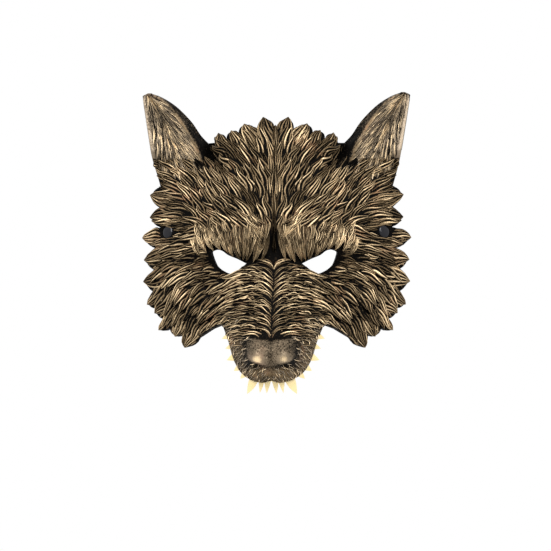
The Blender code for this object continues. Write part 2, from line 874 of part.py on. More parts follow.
def strap_stations(hole):
    """Half of the strap, from inside the rivet out along the shell and round to the back of the head."""
    depth = WALL + STRAP_SEAT_GAP + STRAP_THICKNESS / 2
    seat = hole.centre - hole.axis * depth
    outward = hole.along if hole.along.x * hole.side > 0 else -hole.along
    upward = hole.across if hole.across.z > 0 else -hole.across
    end_length = RIVET_PLATE_RADIUS + STRAP_END_MARGIN
    stations = [Station(seat + outward * end_length * share, upward) for share in (-1, -0.5, 0, 0.5, 1)]
    bend_start = stations[-1].middle
    control = bend_start + outward * STRAP_BEND_REACH
    bend_end = bend_start + Vector((hole.side * STRAP_BEND_OUT, STRAP_BEND_BACK, 0.0))
    for share in (0.25, 0.5, 0.75, 1.0):
        middle = bend_start * (1 - share) ** 2 + control * 2 * share * (1 - share) + bend_end * share ** 2
        stations.append(Station(middle, upward.lerp(Vector((0, 0, 1)), share).normalized()))
    head_side = Vector((hole.side * HEAD_HALF_WIDTH, HEAD_MIDDLE_BEHIND, STRAP_HOLE_HEIGHT))
    for share in (0.25, 0.5, 0.75):
        stations.append(Station(bend_end.lerp(head_side, share), Vector((0, 0, 1))))
    for step in range(STRAP_QUARTER_STEPS + 1):
        angle = math.pi / 2 * step / STRAP_QUARTER_STEPS
        across = hole.side * HEAD_HALF_WIDTH * math.cos(angle)
        behind = HEAD_MIDDLE_BEHIND + (HEAD_BACK_BEHIND - HEAD_MIDDLE_BEHIND) * math.sin(angle)
        stations.append(Station(Vector((across, behind, STRAP_HOLE_HEIGHT)), Vector((0, 0, 1))))
    return stations


def build_strap(material):
    """A flat elastic band round the head, with a round hole for the post at each end."""
    stations = strap_stations(HOLES[1]) + strap_stations(HOLES[0])[-2::-1]
    vertices = []
    for index, station in enumerate(stations):
        before = stations[max(index - 1, 0)].middle
        after = stations[min(index + 1, len(stations) - 1)].middle
        along = (after - before).normalized()
        outward = along.cross(station.upward).normalized() * STRAP_THICKNESS / 2
        upward = station.upward * STRAP_WIDTH / 2
        for first, second in ((1, -1), (1, 1), (-1, 1), (-1, -1)):
            vertices.append(station.middle + outward * first + upward * second)
    faces = [[0, 1, 2, 3], [len(vertices) - 4 + i for i in (3, 2, 1, 0)]]
    for index in range(len(stations) - 1):
        base = index * 4
        for i in range(4):
            j = (i + 1) % 4
            faces.append([base + i, base + j, base + 4 + j, base + 4 + i])
    strap = new_object("head_strap", vertices, faces, material)
    face_outward(strap)
    for hole in HOLES:
        cut = strap.modifiers.new("post hole", "BOOLEAN")
        cut.operation = "DIFFERENCE"
        cut.solver = "EXACT"
        cut.object = new_cutter(hole)
    return strap


def new_cutter(hole):
    """A cylinder on the hole's axis that cuts the strap for the post."""
    radius = POST_RADIUS + FIT_GAP
    near = hole.ring(radius, WALL - CUTTER_IN_FRONT)
    far = hole.ring(radius, WALL + CUTTER_BEHIND)
    faces = [list(range(RING_SIDES)), list(range(RING_SIDES, 2 * RING_SIDES))]
    for i in range(RING_SIDES):
        j = (i + 1) % RING_SIDES
        faces.append([i, j, RING_SIDES + j, RING_SIDES + i])
    mesh = bpy.data.meshes.new("post_cutter")
    mesh.from_pydata([tuple(point) for point in near + far], [], faces)
    cutter = bpy.data.objects.new("post_cutter", mesh)
    bpy.context.collection.objects.link(cutter)
    face_outward(cutter)
    cutter.hide_render = True
    cutter.display_type = "WIRE"
    return cutter


class LipLine:
    """The edge of the lip from the right corner round under the nose to the left corner."""

    def __init__(self):
        right = lip_run()
        self.points = right + mirrored(right)[1:]
        self.lengths = [0.0]
        for first, second in zip(self.points, self.points[1:]):
            self.lengths.append(self.lengths[-1] + (second - first).length)

    def at(self, share):
        """The point at a share of the lip's length, and the direction out of the mask there."""
        target = share * self.lengths[-1]
        index = max(i for i in range(len(self.lengths) - 1) if self.lengths[i] <= target)
        span = self.lengths[index + 1] - self.lengths[index]
        point = self.points[index].lerp(self.points[index + 1], (target - self.lengths[index]) / span)
        reach = LIP_WAY_REACH / self.lengths[-1]
        low = self.corner(share - reach)
        high = self.corner(share + reach)
        along = (high - low).normalized()
        return point, Vector((-along.y, along.x))

    def corner(self, share):
        """The point at a share that is kept within the lip."""
        target = min(max(share, 0.0), 1.0) * self.lengths[-1]
        x = np.interp(target, self.lengths, [point.x for point in self.points])
        z = np.interp(target, self.lengths, [point.y for point in self.points])
        return Vector((float(x), float(z)))


def tooth_stations():
    """Stations along the strip: share of the lip, tooth length there and growth of the tooth."""
    lip = LipLine()
    whole = lip.lengths[-1]
    stations = [(STRIP_END, 0.0, 0.0)]
    half = [(tooth.along / 2, tooth) for tooth in TEETH]
    centres = half + [(1.0 - share, tooth) for share, tooth in reversed(half)]
    for share, tooth in centres:
        half_width = tooth.width / 2 / whole
        for step in range(-TOOTH_STATIONS // 2, TOOTH_STATIONS // 2 + 1):
            offset = step / (TOOTH_STATIONS / 2)
            fall = max(1.0 - abs(offset), 0.0)
            stations.append((share + offset * half_width, tooth.length * fall ** TOOTH_POINT_POWER, fall))
    stations.append((1.0 - STRIP_END, 0.0, 0.0))
    return lip, stations


def build_teeth(material):
    """One strip along the inside of the lip, whose lower edge runs out into pointed teeth."""
    lip, stations = tooth_stations()
    vertices = []
    for share, length, fall in stations:
        point, outward = lip.at(share)
        inner = point - outward * TOOTH_STRIP_HEIGHT
        edge = form_point(point.x, point.y, False)
        normal = form_normal(point.x, point.y, False)
        inner_normal = form_normal(inner.x, inner.y, False)
        inner_edge = form_point(inner.x, inner.y, False)
        down = (edge - inner_edge).normalized()
        near = WALL + TOOTH_STRIP_GAP
        far = near + TOOTH_STRIP_THICKNESS
        root = edge + down * TOOTH_STRIP_LIP
        splay = Vector((outward.x, 0.0, outward.y)) * TOOTH_SPLAY
        corners = (
            (root, near, TOOTH_FRONT),
            (root + down * TOOTH_STRIP_LIP, (near + far) / 2, TOOTH_POINT),
            (root, far + TOOTH_GROWTH * fall, TOOTH_BACK),
        )
        vertices.append(inner_edge - inner_normal * near)
        vertices.append(edge - normal * near + down * TOOTH_STRIP_LIP * STRIP_FOOT_SHARE)
        for start, depth, corner in corners:
            vertices.append(start - normal * depth + (down * corner.down + splay * corner.splay) * length)
        vertices.append(inner_edge - inner_normal * far)
    sides = 6
    faces = [list(range(sides)), [len(vertices) - sides + i for i in reversed(range(sides))]]
    for index in range(len(stations) - 1):
        base = index * sides
        for i in range(sides):
            j = (i + 1) % sides
            faces.append([base + i, base + j, base + sides + j, base + sides + i])
    teeth = new_object("upper_teeth", vertices, faces, material)
    face_outward(teeth)
    return teeth


def main():
    """Clear the scene and build every piece."""
    for old in list(bpy.data.objects):
        bpy.data.objects.remove(old, do_unlink=True)
    bronze = new_material("bronze_foam", (0.20, 0.14, 0.075), 0.45, 0.6)
    cream = new_material("cream_teeth", (0.86, 0.76, 0.48), 0.5, 0.0)
    black = new_material("black_rivet", (0.012, 0.012, 0.014), 0.15, 0.0)
    elastic = new_material("black_elastic", (0.02, 0.02, 0.02), 0.85, 0.0)
    build_shell(bronze)
    build_teeth(cream)
    build_rivet("strap_rivet_left", HOLES[0], black)
    build_rivet("strap_rivet_right", HOLES[1], black)
    build_strap(elastic)


main()
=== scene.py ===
import logging
import math
import random
from collections.abc import Sequence
from dataclasses import dataclass, field, replace
from enum import Enum

import bmesh
import bpy
import numpy as np
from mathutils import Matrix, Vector
from mathutils.geometry import delaunay_2d_cdt


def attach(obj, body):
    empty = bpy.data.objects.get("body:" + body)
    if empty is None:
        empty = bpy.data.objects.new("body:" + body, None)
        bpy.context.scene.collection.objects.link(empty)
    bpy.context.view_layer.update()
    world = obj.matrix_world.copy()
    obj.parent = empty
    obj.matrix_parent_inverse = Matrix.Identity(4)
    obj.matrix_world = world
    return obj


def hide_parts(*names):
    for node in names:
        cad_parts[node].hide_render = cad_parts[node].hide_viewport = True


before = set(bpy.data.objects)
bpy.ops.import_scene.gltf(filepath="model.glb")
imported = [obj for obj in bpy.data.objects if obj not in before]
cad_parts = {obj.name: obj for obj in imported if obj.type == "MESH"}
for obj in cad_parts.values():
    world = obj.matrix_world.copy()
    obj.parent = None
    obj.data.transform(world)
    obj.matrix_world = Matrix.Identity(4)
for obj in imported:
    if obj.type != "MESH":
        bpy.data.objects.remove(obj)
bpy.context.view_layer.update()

LOG = logging.getLogger("wolf_mask")
BODY = "root"
FLIP = np.array([-1.0, 1.0])
TINY = 1e-12
HEX_ROW_STEP = 0.866
PATH_SWAY = 9.0


class Slot(Enum):
    """The record's material slots."""

    BRONZE = "bronze_foam"
    TEETH = "cream_teeth"
    RIVET = "black_rivet"
    ELASTIC = "black_elastic"


class Region(Enum):
    """The stretches of fur, each made as one piece."""

    CROWN = "fur_crown"
    CHEEK_LEFT = "fur_cheek_left"
    CHEEK_RIGHT = "fur_cheek_right"
    BROWS = "fur_brows"
    MUZZLE = "fur_muzzle"
    LIPS = "fur_lips"
    EARS = "fur_ears"


def smooth_step(low: float, high: float, value: np.ndarray) -> np.ndarray:
    """0 below low, 1 above high and a smooth rise between."""
    share = np.clip((value - low) / (high - low), 0.0, 1.0)
    return share * share * (3.0 - 2.0 * share)


def bump(value: np.ndarray, middle: float, half_size: float) -> np.ndarray:
    """A round bump of height 1."""
    return np.exp(-((value - middle) / half_size) ** 2)


def plateau(value: np.ndarray, middle: float, half_size: float) -> np.ndarray:
    """A bump of height 1 with a flat top and steeper sides."""
    return np.exp(-((value - middle) / half_size) ** 4)


def smooth_table(rows: Sequence[tuple[float, float]], at: np.ndarray) -> np.ndarray:
    """Values of a table along a smooth curve through its rows.

    Args:
        rows: pairs of place and value, in order of place.
        at: the places to read.

    Returns:
        The values, held at the ends of the table.
    """
    places = np.array([row[0] for row in rows])
    values = np.array([row[1] for row in rows])
    slopes = np.gradient(values, places)
    at = np.clip(at, places[0], places[-1])
    index = np.clip(np.searchsorted(places, at, side="right") - 1, 0, len(places) - 2)
    span = places[index + 1] - places[index]
    t = (at - places[index]) / span
    keep = 2 * t ** 3 - 3 * t ** 2 + 1
    turn_in = (t ** 3 - 2 * t ** 2 + t) * span * slopes[index]
    turn_out = (t ** 3 - t ** 2) * span * slopes[index + 1]
    return keep * values[index] + turn_in + (1 - keep) * values[index + 1] + turn_out


@dataclass(frozen=True)
class Swelling:
    """A round rise, or a hollow where its rise is below 0, over two measures of the form."""

    rise: float
    across: float
    across_size: float
    along: float
    along_size: float

    def over(self, across: np.ndarray, along: np.ndarray) -> np.ndarray:
        """Its height over places given by both measures."""
        height = self.rise * bump(across, self.across, self.across_size)
        return height * bump(along, self.along, self.along_size)


@dataclass(frozen=True)
class MuzzleForm:
    """The muzzle: shares of the half width across and of the height from the eyes to the lip down."""

    length: float = 0.066
    profile: tuple = (
        (-0.10, 0.00), (0.00, 0.07), (0.15, 0.22), (0.32, 0.46), (0.50, 0.72),
        (0.63, 0.89), (0.74, 0.99), (0.86, 1.00), (0.94, 0.95), (1.04, 0.86),
    )
    half_widths: tuple = (
        (-0.10, 0.17), (0.00, 0.20), (0.25, 0.28), (0.52, 0.36),
        (0.67, 0.33), (0.78, 0.305), (0.87, 0.285), (1.04, 0.26),
    )
    rounding_power: float = 3.2
    crease_depth: float = 0.02
    crease_half_width: float = 0.02
    crease_start: tuple = (0.0, 0.15)
    crease_end: tuple = (0.55, 0.64)

    def half_width(self, down: np.ndarray) -> np.ndarray:
        """Half width of the muzzle as a share of the mask's half width."""
        return smooth_table(self.half_widths, down)

    def reach(self, across: np.ndarray, down: np.ndarray) -> np.ndarray:
        """How far the muzzle stands out of the face.

        Args:
            across: shares across.
            down: shares down.

        Returns:
            The depths in metres.
        """
        rounding = 1.0 / (1.0 + (across / self.half_width(down)) ** self.rounding_power)
        crease = self.crease_depth * bump(across, 0.0, self.crease_half_width)
        crease = crease * smooth_step(*self.crease_start, down) * (1.0 - smooth_step(*self.crease_end, down))
        return self.length * (smooth_table(self.profile, down) * rounding - crease)


@dataclass(frozen=True)
class EarForm:
    """One ear: shares of the half width across and of the height from the eyes to the ear tip up."""

    inner_edge: tuple = (
        (0.511, 0.709), (0.567, 0.756), (0.627, 0.826), (0.693, 0.884),
        (0.767, 0.936), (0.852, 0.977), (0.925, 0.998),
    )
    tip: tuple = (0.974, 1.000)
    outer_edge: tuple = (
        (0.996, 0.959), (0.974, 0.843), (0.948, 0.715), (0.922, 0.593), (0.874, 0.455),
    )
    setback: float = 0.030
    lean: float = 0.012
    lean_middle: float = 0.5
    root_spread: float = 0.55
    least_span: float = 0.05
    full_span: float = 0.40
    turn_reach: float = 0.10
    turn_width: float = 0.09
    turn_up: tuple = (0.46, 0.66)
    bowl_depth: float = 0.009
    bowl_share: float = 0.74
    bowl_power: float = 1.5
    rim_share: float = 0.78
    rim_fall: float = 1.1

    def edges(self, up: np.ndarray) -> tuple[np.ndarray, np.ndarray]:
        """How far across the ear's outer and inner edges lie.

        Args:
            up: shares up.

        Returns:
            Shares across of the outer edge and of the inner edge.
        """
        outer_rows = self.outer_edge[::-1]
        outer = np.interp(up, [row[1] for row in outer_rows], [row[0] for row in outer_rows])
        inner = np.interp(up, [row[1] for row in self.inner_edge], [row[0] for row in self.inner_edge])
        return outer, inner - np.maximum(self.inner_edge[0][1] - up, 0.0) * self.root_spread

    def share(self, across: np.ndarray, up: np.ndarray) -> np.ndarray:
        """0 at the ear's outer edge and 1 at its inner edge."""
        outer, inner = self.edges(up)
        return np.clip((outer - across) / np.maximum(outer - inner, self.least_span), 0.0, 1.0)

    def turn(self, across: np.ndarray, up: np.ndarray) -> np.ndarray:
        """1 on the ear, 0 on the fur round its root."""
        inside = (across - self.edges(up)[1] + self.turn_reach) / self.turn_width
        return smooth_step(0.0, 1.0, inside) * smooth_step(*self.turn_up, up)

    def bowl(self, across: np.ndarray, up: np.ndarray) -> np.ndarray:
        """An edge, a bowl and a rim that falls back inside.

        Args:
            across: shares across.
            up: shares up.

        Returns:
            The depths in metres.
        """
        outer, inner = self.edges(up)
        size = np.minimum(np.maximum(outer - inner, self.least_span) / self.full_span, 1.0)
        share = self.share(across, up)
        arch = np.maximum(np.sin(np.pi * np.minimum(share / self.bowl_share, 1.0)), 0.0)
        fall = self.rim_fall * smooth_step(self.rim_share, 1.0, share)
        return self.bowl_depth * size * (-arch ** self.bowl_power - fall)

    def depth(self, across: np.ndarray, up: np.ndarray) -> np.ndarray:
        """How far forward the ear lies."""
        return self.bowl(across, up) - self.setback - self.lean * (up - self.lean_middle)


@dataclass(frozen=True)
class NoseForm:
    """The nose leather: two round lobes and the narrow pad under them, in shares across and down."""

    height: float = 0.0062
    arch: float = 0.9
    lobe: tuple = (0.080, 0.105, 0.755, 0.105)
    pad: tuple = (0.0, 0.070, 0.880, 0.075)
    pad_share: float = 0.4
    details: tuple = (
        Swelling(0.0016, 0.115, 0.060, 0.80, 0.075),
        Swelling(0.0010, 0.0, 0.09, 0.72, 0.05),
        Swelling(-0.0030, 0.105, 0.042, 0.872, 0.020),
    )
    groove_depth: float = 0.0016
    groove_half_width: float = 0.014
    groove_start: tuple = (0.76, 0.80)
    groove_end: tuple = (0.93, 0.97)
    top_down: float = 0.5

    def rise(self, across: np.ndarray, down: np.ndarray) -> np.ndarray:
        """How far the whole nose stands out of the muzzle.

        Args:
            across: shares across.
            down: shares down.

        Returns:
            The heights in metres.
        """
        arched = down + self.arch * across ** 2
        lobe = plateau(across, *self.lobe[:2]) * plateau(arched, *self.lobe[2:])
        pad = plateau(across, *self.pad[:2]) * plateau(down, *self.pad[2:])
        return self.height * (lobe + self.pad_share * pad)

    def detail(self, across: np.ndarray, down: np.ndarray) -> np.ndarray:
        """Finer shape: the two lobes, the groove between them and the nostrils.

        Args:
            across: shares across.
            down: shares down.

        Returns:
            The heights in metres.
        """
        groove = self.groove_depth * bump(across, 0.0, self.groove_half_width)
        groove = groove * smooth_step(*self.groove_start, down) * (1.0 - smooth_step(*self.groove_end, down))
        return sum(swelling.over(across, down) for swelling in self.details) - groove


@dataclass(frozen=True)
class MaskForm:
    """The smooth form under the fur, as a depth over the front view, in metres.

    Across is a share of the half width. Up is a share of the height over the eyes to the ear tip,
    and down a share of the height from the eyes to the lip.
    """

    half_width: float = 0.1075
    eye_to_ear_tip: float = 0.137
    eye_to_lip: float = 0.0955
    wall: float = 0.0035
    face_wrap: float = 0.046
    wrap_power: float = 2.2
    forehead_lean: float = 0.030
    lean_power: float = 1.8
    lean_top: float = 0.8
    lean_above: float = 1.2
    strap_hole_height: float = 0.0247
    strap_hole_spacing: float = 0.1736
    recess_radius: float = 0.0054
    brow: Swelling = Swelling(0.010, 0.33, 0.26, 0.018495, 0.016988)
    bridge: Swelling = Swelling(0.005, 0.0, 0.22, 0.02466, 0.022057)
    cheek: Swelling = Swelling(0.006, 0.62, 0.22, -0.030, 0.025)
    socket: Swelling = Swelling(-0.007, 0.33, 0.17, -0.002, 0.0085)
    muzzle: MuzzleForm = MuzzleForm()
    ear: EarForm = EarForm()
    nose: NoseForm = NoseForm()
    slope_step: float = 0.0008

    def spot(self, across: float, up: float) -> tuple[float, float]:
        """A place given in shares as x and z."""
        return across * self.half_width, up * (self.eye_to_ear_tip if up > 0 else self.eye_to_lip)

    def shares(self, flat: np.ndarray) -> tuple[np.ndarray, np.ndarray, np.ndarray]:
        """Rows of x and z as shares across, up and down."""
        up = np.maximum(flat[..., 1], 0.0) / self.eye_to_ear_tip
        return np.abs(flat[..., 0]) / self.half_width, up, -flat[..., 1] / self.eye_to_lip

    def depth(self, flat: np.ndarray, detail: bool = True) -> np.ndarray:
        """How far forward of the origin the form lies.

        Args:
            flat: rows of x and z.
            detail: True for the front, False for the plainer back.

        Returns:
            The depths, positive towards the viewer.
        """
        across, up, down = self.shares(flat)
        lean = self.forehead_lean * np.minimum(up / self.lean_top, 1.0) ** self.lean_power
        lean = lean + self.forehead_lean * self.lean_above * np.maximum(up - self.lean_top, 0.0)
        swellings = (self.brow, self.bridge, self.cheek, self.socket)
        depth = sum(swelling.over(across, flat[..., 1]) for swelling in swellings)
        depth = depth - self.face_wrap * across ** self.wrap_power - lean
        depth = depth + np.where(down > self.muzzle.profile[0][0], self.muzzle.reach(across, down), 0.0)
        depth = depth + (self.ear.depth(across, up) - depth) * self.ear.turn(across, up)
        if detail:
            nose = self.nose.rise(across, down) + self.nose.detail(across, down)
            depth = depth + np.where(down > self.nose.top_down, nose, 0.0)
        return depth

    def normals(self, flat: np.ndarray, detail: bool = True) -> np.ndarray:
        """Directions that point out of the front.

        Args:
            flat: rows of x and z.
            detail: True for the front, False for the plainer back.

        Returns:
            A unit row for each row of x and z.
        """
        slopes = []
        for step in (np.array([self.slope_step, 0.0]), np.array([0.0, self.slope_step])):
            rise = self.depth(flat + step, detail) - self.depth(flat - step, detail)
            slopes.append(rise / (2 * self.slope_step))
        rows = np.stack([-slopes[0], -np.ones(len(flat)), -slopes[1]], axis=1)
        return rows / np.linalg.norm(rows, axis=1, keepdims=True)

    def points(self, flat: np.ndarray, height: np.ndarray, detail: bool = True) -> np.ndarray:
        """Points over the form.

        Args:
            flat: rows of x and z.
            height: how far each point stands over the form, along its normal.
            detail: True for the front, False for the plainer back.

        Returns:
            Rows of x, y and z.
        """
        base = np.stack([flat[:, 0], -self.depth(flat, detail), flat[:, 1]], axis=1)
        return base + self.normals(flat, detail) * height[:, None]


@dataclass(frozen=True)
class Outline:
    """The edge of the mask and its holes, in shares of the form's sizes.

    A tuft's row holds its tip and the valley after it.
    """

    form: MaskForm
    crown_middle: tuple = (0.000, 0.792)
    crown_tufts: tuple = (
        (0.093, 0.850, 0.137, 0.776), (0.233, 0.811, 0.278, 0.758),
        (0.330, 0.770, 0.367, 0.725), (0.426, 0.757, 0.462, 0.706),
    )
    side_tufts: tuple = (
        (0.944, 0.404, 0.840, 0.343), (0.941, 0.270, 0.867, 0.210), (1.000, 0.151, 0.893, 0.084),
        (0.984, 0.020, 0.896, -0.067), (0.989, -0.154, 0.885, -0.262), (0.956, -0.350, 0.878, -0.378),
        (0.893, -0.425, 0.803, -0.478), (0.859, -0.567, 0.785, -0.545), (0.726, -0.621, 0.681, -0.592),
        (0.652, -0.713, 0.560, -0.640),
    )
    cheek_lower_edge: tuple = ((0.452, -0.562), (0.386, -0.528))
    lip_edge: tuple = (
        (0.359, -0.554), (0.319, -0.667), (0.289, -0.783), (0.255, -0.868),
        (0.211, -0.931), (0.148, -0.976), (0.066, -1.000), (0.000, -0.983),
    )
    eye_hole: tuple = (
        (0.204, -0.025), (0.267, 0.009), (0.337, 0.032), (0.378, 0.055), (0.419, 0.062), (0.461, 0.045),
        (0.448, 0.009), (0.415, -0.042), (0.370, -0.083), (0.307, -0.108), (0.248, -0.062),
    )
    tuft_bulge: float = 0.0016
    tuft_steps: int = 4
    edge_steps: int = 5

    def spots(self, rows: Sequence[tuple]) -> list[np.ndarray]:
        """Places given in shares as x and z."""
        return [np.array(self.form.spot(*row)) for row in rows]

    def smooth_run(self, points: list[np.ndarray]) -> list[np.ndarray]:
        """A smooth curve through points.

        Args:
            points: the points that it passes.

        Returns:
            Points along the curve, with the same number of steps between each two.
        """
        run = []
        for index in range(len(points) - 1):
            before = points[max(index - 1, 0)]
            first = points[index]
            last = points[index + 1]
            after = points[min(index + 2, len(points) - 1)]
            for step in range(self.edge_steps):
                t = step / self.edge_steps
                curve = first * 2 + (last - before) * t
                curve = curve + (before * 2 - first * 5 + last * 4 - after) * t ** 2
                run.append((curve + (first * 3 - before - last * 3 + after) * t ** 3) / 2)
        return run + [points[-1]]

    def tuft_points(self, start: np.ndarray, tuft: tuple) -> list[np.ndarray]:
        """One tuft: a rounded side, the tip and the other side.

        Args:
            start: the valley before it.
            tuft: its row.

        Returns:
            The points after the valley.
        """
        tip, end = self.spots([tuft[:2], tuft[2:]])
        points = []
        for first, last in ((start, tip), (tip, end)):
            along = last - first
            outward = np.array([-along[1], along[0]]) / np.linalg.norm(along)
            for step in range(1, self.tuft_steps + 1):
                share = step / self.tuft_steps
                bulge = self.tuft_bulge * math.sin(math.pi * share)
                points.append(first + along * share + outward * bulge)
        return points

    def half(self) -> list[np.ndarray]:
        """The right half of the outline, from the middle of the crown to the middle of the lip.

        Returns:
            Its points in order.
        """
        points = self.spots([self.crown_middle])
        for tuft in self.crown_tufts:
            points += self.tuft_points(points[-1], tuft)
        ear = self.form.ear
        points += self.smooth_run(self.spots(ear.inner_edge + (ear.tip,) + ear.outer_edge))
        for tuft in self.side_tufts:
            points += self.tuft_points(points[-1], tuft)
        points += self.spots(self.cheek_lower_edge)
        return points + self.smooth_run(self.spots(self.lip_edge))

    def whole(self) -> np.ndarray:
        """The closed outline, clockwise as the viewer sees it.

        Returns:
            Rows of x and z.
        """
        right = self.half()
        left = [point * FLIP for point in reversed(right)]
        return np.array(right + left[1:-1])

    def eye(self, side: int) -> np.ndarray:
        """The closed outline of one eye hole."""
        rows = self.spots(self.eye_hole + self.eye_hole[:1])
        return np.array(self.smooth_run(rows)[:-1]) * np.array([side, 1.0])


def inside_loop(points: np.ndarray, loop: np.ndarray) -> np.ndarray:
    """Which points lie inside a closed loop.

    Args:
        points: rows of x and z.
        loop: the loop's corners in order.

    Returns:
        True for each point inside.
    """
    first = loop[None, :, :]
    second = np.roll(loop, -1, axis=0)[None, :, :]
    height = points[:, None, 1]
    crosses = (first[..., 1] > height) != (second[..., 1] > height)
    rise = second[..., 1] - first[..., 1]
    rise = np.where(np.abs(rise) > TINY, rise, TINY)
    at = first[..., 0] + (height - first[..., 1]) / rise * (second[..., 0] - first[..., 0])
    return np.sum(crosses & (points[:, None, 0] < at), axis=1) % 2 == 1


def distance_to_loop(points: np.ndarray, loop: np.ndarray) -> np.ndarray:
    """Distance of each point to a closed loop.

    Args:
        points: rows of x and z.
        loop: the loop's corners in order.

    Returns:
        The distances.
    """
    along = np.roll(loop, -1, axis=0) - loop
    length = np.maximum(np.sum(along ** 2, axis=1), TINY)
    gap = points[:, None, :] - loop[None, :, :]
    share = np.clip(np.sum(gap * along[None, :, :], axis=2) / length[None, :], 0.0, 1.0)
    return np.sqrt(np.min(np.sum((gap - share[..., None] * along[None, :, :]) ** 2, axis=2), axis=1))


def hex_points(spacing: float, low: Sequence[float], high: Sequence[float]) -> np.ndarray:
    """Points over a box in rows that are shifted by half a step.

    Args:
        spacing: the distance between neighbours in a row.
        low: the box's lower corner.
        high: its upper corner.

    Returns:
        Rows of x and z.
    """
    rows = []
    count = int((high[1] - low[1]) / (spacing * HEX_ROW_STEP)) + 1
    for row in range(count):
        columns = np.arange(low[0], high[0], spacing) + spacing * 0.5 * (row % 2)
        height = low[1] + row * spacing * HEX_ROW_STEP
        rows.append(np.stack([columns, np.full_like(columns, height)], axis=1))
    return np.concatenate(rows)


def new_piece(name: str, mesh: bpy.types.Mesh, material: bpy.types.Material) -> bpy.types.Object:
    """A shown piece of the mask that rides on its body.

    Args:
        name: the piece's name.
        mesh: its mesh, in the row's frame.
        material: its material.

    Returns:
        The new object.
    """
    mesh.materials.append(material)
    piece = bpy.data.objects.new(name, mesh)
    bpy.context.scene.collection.objects.link(piece)
    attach(piece, BODY)
    LOG.info("%s: %d faces", name, len(mesh.polygons))
    return piece


def add_value(mesh: bpy.types.Mesh, name: str, values: np.ndarray) -> None:
    """Keep one number for each vertex, for the material to read."""
    attribute = mesh.attributes.new(name, "FLOAT", "POINT")
    attribute.data.foreach_set("value", np.asarray(values, dtype=np.float32))


class Wiring:
    """Adds shader nodes to one tree and links them."""

    def __init__(self, tree: bpy.types.NodeTree) -> None:
        """Start on a tree, with the object's own coordinates at hand.

        Args:
            tree: the tree that the nodes go to.
        """
        self.nodes = tree.nodes
        self.links = tree.links
        self.place = tree.nodes.new("ShaderNodeTexCoord").outputs["Object"]

    def feed(self, value: object, socket: bpy.types.NodeSocket) -> None:
        """Give a socket a plain value, or link another socket to it.

        Args:
            value: a number, a colour or an output socket.
            socket: the input that takes it.
        """
        if isinstance(value, (int, float, tuple)):
            socket.default_value = value
        else:
            self.links.new(value, socket)

    def attribute(self, name: str) -> bpy.types.NodeSocket:
        """A value that the mesh keeps for each vertex.

        Args:
            name: the value's name.

        Returns:
            The value.
        """
        made = self.nodes.new("ShaderNodeAttribute")
        made.attribute_name = name
        return made.outputs["Fac"]

    def noise(self, scale: object, detail: float) -> bpy.types.NodeSocket:
        """Noise over the object.

        Args:
            scale: its scale, a number or a socket.
            detail: how much fine noise is in it.

        Returns:
            The noise's value.
        """
        made = self.nodes.new("ShaderNodeTexNoise")
        made.inputs["Detail"].default_value = detail
        self.links.new(self.place, made.inputs["Vector"])
        self.feed(scale, made.inputs["Scale"])
        return made.outputs["Fac"]

    def maths(self, kind: str, *values: object) -> bpy.types.NodeSocket:
        """One step of arithmetic.

        Args:
            kind: the kind of step.
            values: numbers or sockets, in order.

        Returns:
            The result.
        """
        made = self.nodes.new("ShaderNodeMath")
        made.operation = kind
        for value, socket in zip(values, made.inputs):
            self.feed(value, socket)
        return made.outputs[0]

    def ramp(self, value: bpy.types.NodeSocket, ends: tuple[float, float]) -> bpy.types.NodeSocket:
        """A smooth rise from 0 to 1.

        Args:
            value: what rises.
            ends: where the rise starts and where it ends.

        Returns:
            The share that is reached.
        """
        made = self.nodes.new("ShaderNodeMapRange")
        made.interpolation_type = "SMOOTHSTEP"
        made.inputs["From Min"].default_value = ends[0]
        made.inputs["From Max"].default_value = ends[1]
        self.links.new(value, made.inputs["Value"])
        return made.outputs["Result"]

    def between(self, share: bpy.types.NodeSocket, ends: tuple[float, float]) -> bpy.types.NodeSocket:
        """A number between two.

        Args:
            share: 0 for the first, 1 for the second.
            ends: the two numbers.

        Returns:
            The number.
        """
        made = self.nodes.new("ShaderNodeMapRange")
        made.inputs["To Min"].default_value = ends[0]
        made.inputs["To Max"].default_value = ends[1]
        self.links.new(share, made.inputs["Value"])
        return made.outputs["Result"]

    def blend(self, share: object, first: object, second: object) -> bpy.types.NodeSocket:
        """A mix of two colours.

        Args:
            share: how much of the second there is.
            first: a colour or a socket.
            second: a colour or a socket.

        Returns:
            The mixed colour.
        """
        made = self.nodes.new("ShaderNodeMix")
        made.data_type = "RGBA"
        colours = [socket for socket in made.inputs if socket.type == "RGBA"]
        self.feed(share, made.inputs["Factor"])
        self.feed(first, colours[0])
        self.feed(second, colours[1])
        return [socket for socket in made.outputs if socket.type == "RGBA"][0]

    def relief(self, height: bpy.types.NodeSocket, strength: float, distance: float) -> bpy.types.NodeSocket:
        """A surface that is raised a little.

        Args:
            height: how high it is.
            strength: how strongly that shows.
            distance: the greatest height, in metres.

        Returns:
            The normal.
        """
        made = self.nodes.new("ShaderNodeBump")
        made.inputs["Strength"].default_value = strength
        made.inputs["Distance"].default_value = distance
        self.links.new(height, made.inputs["Height"])
        return made.outputs["Normal"]


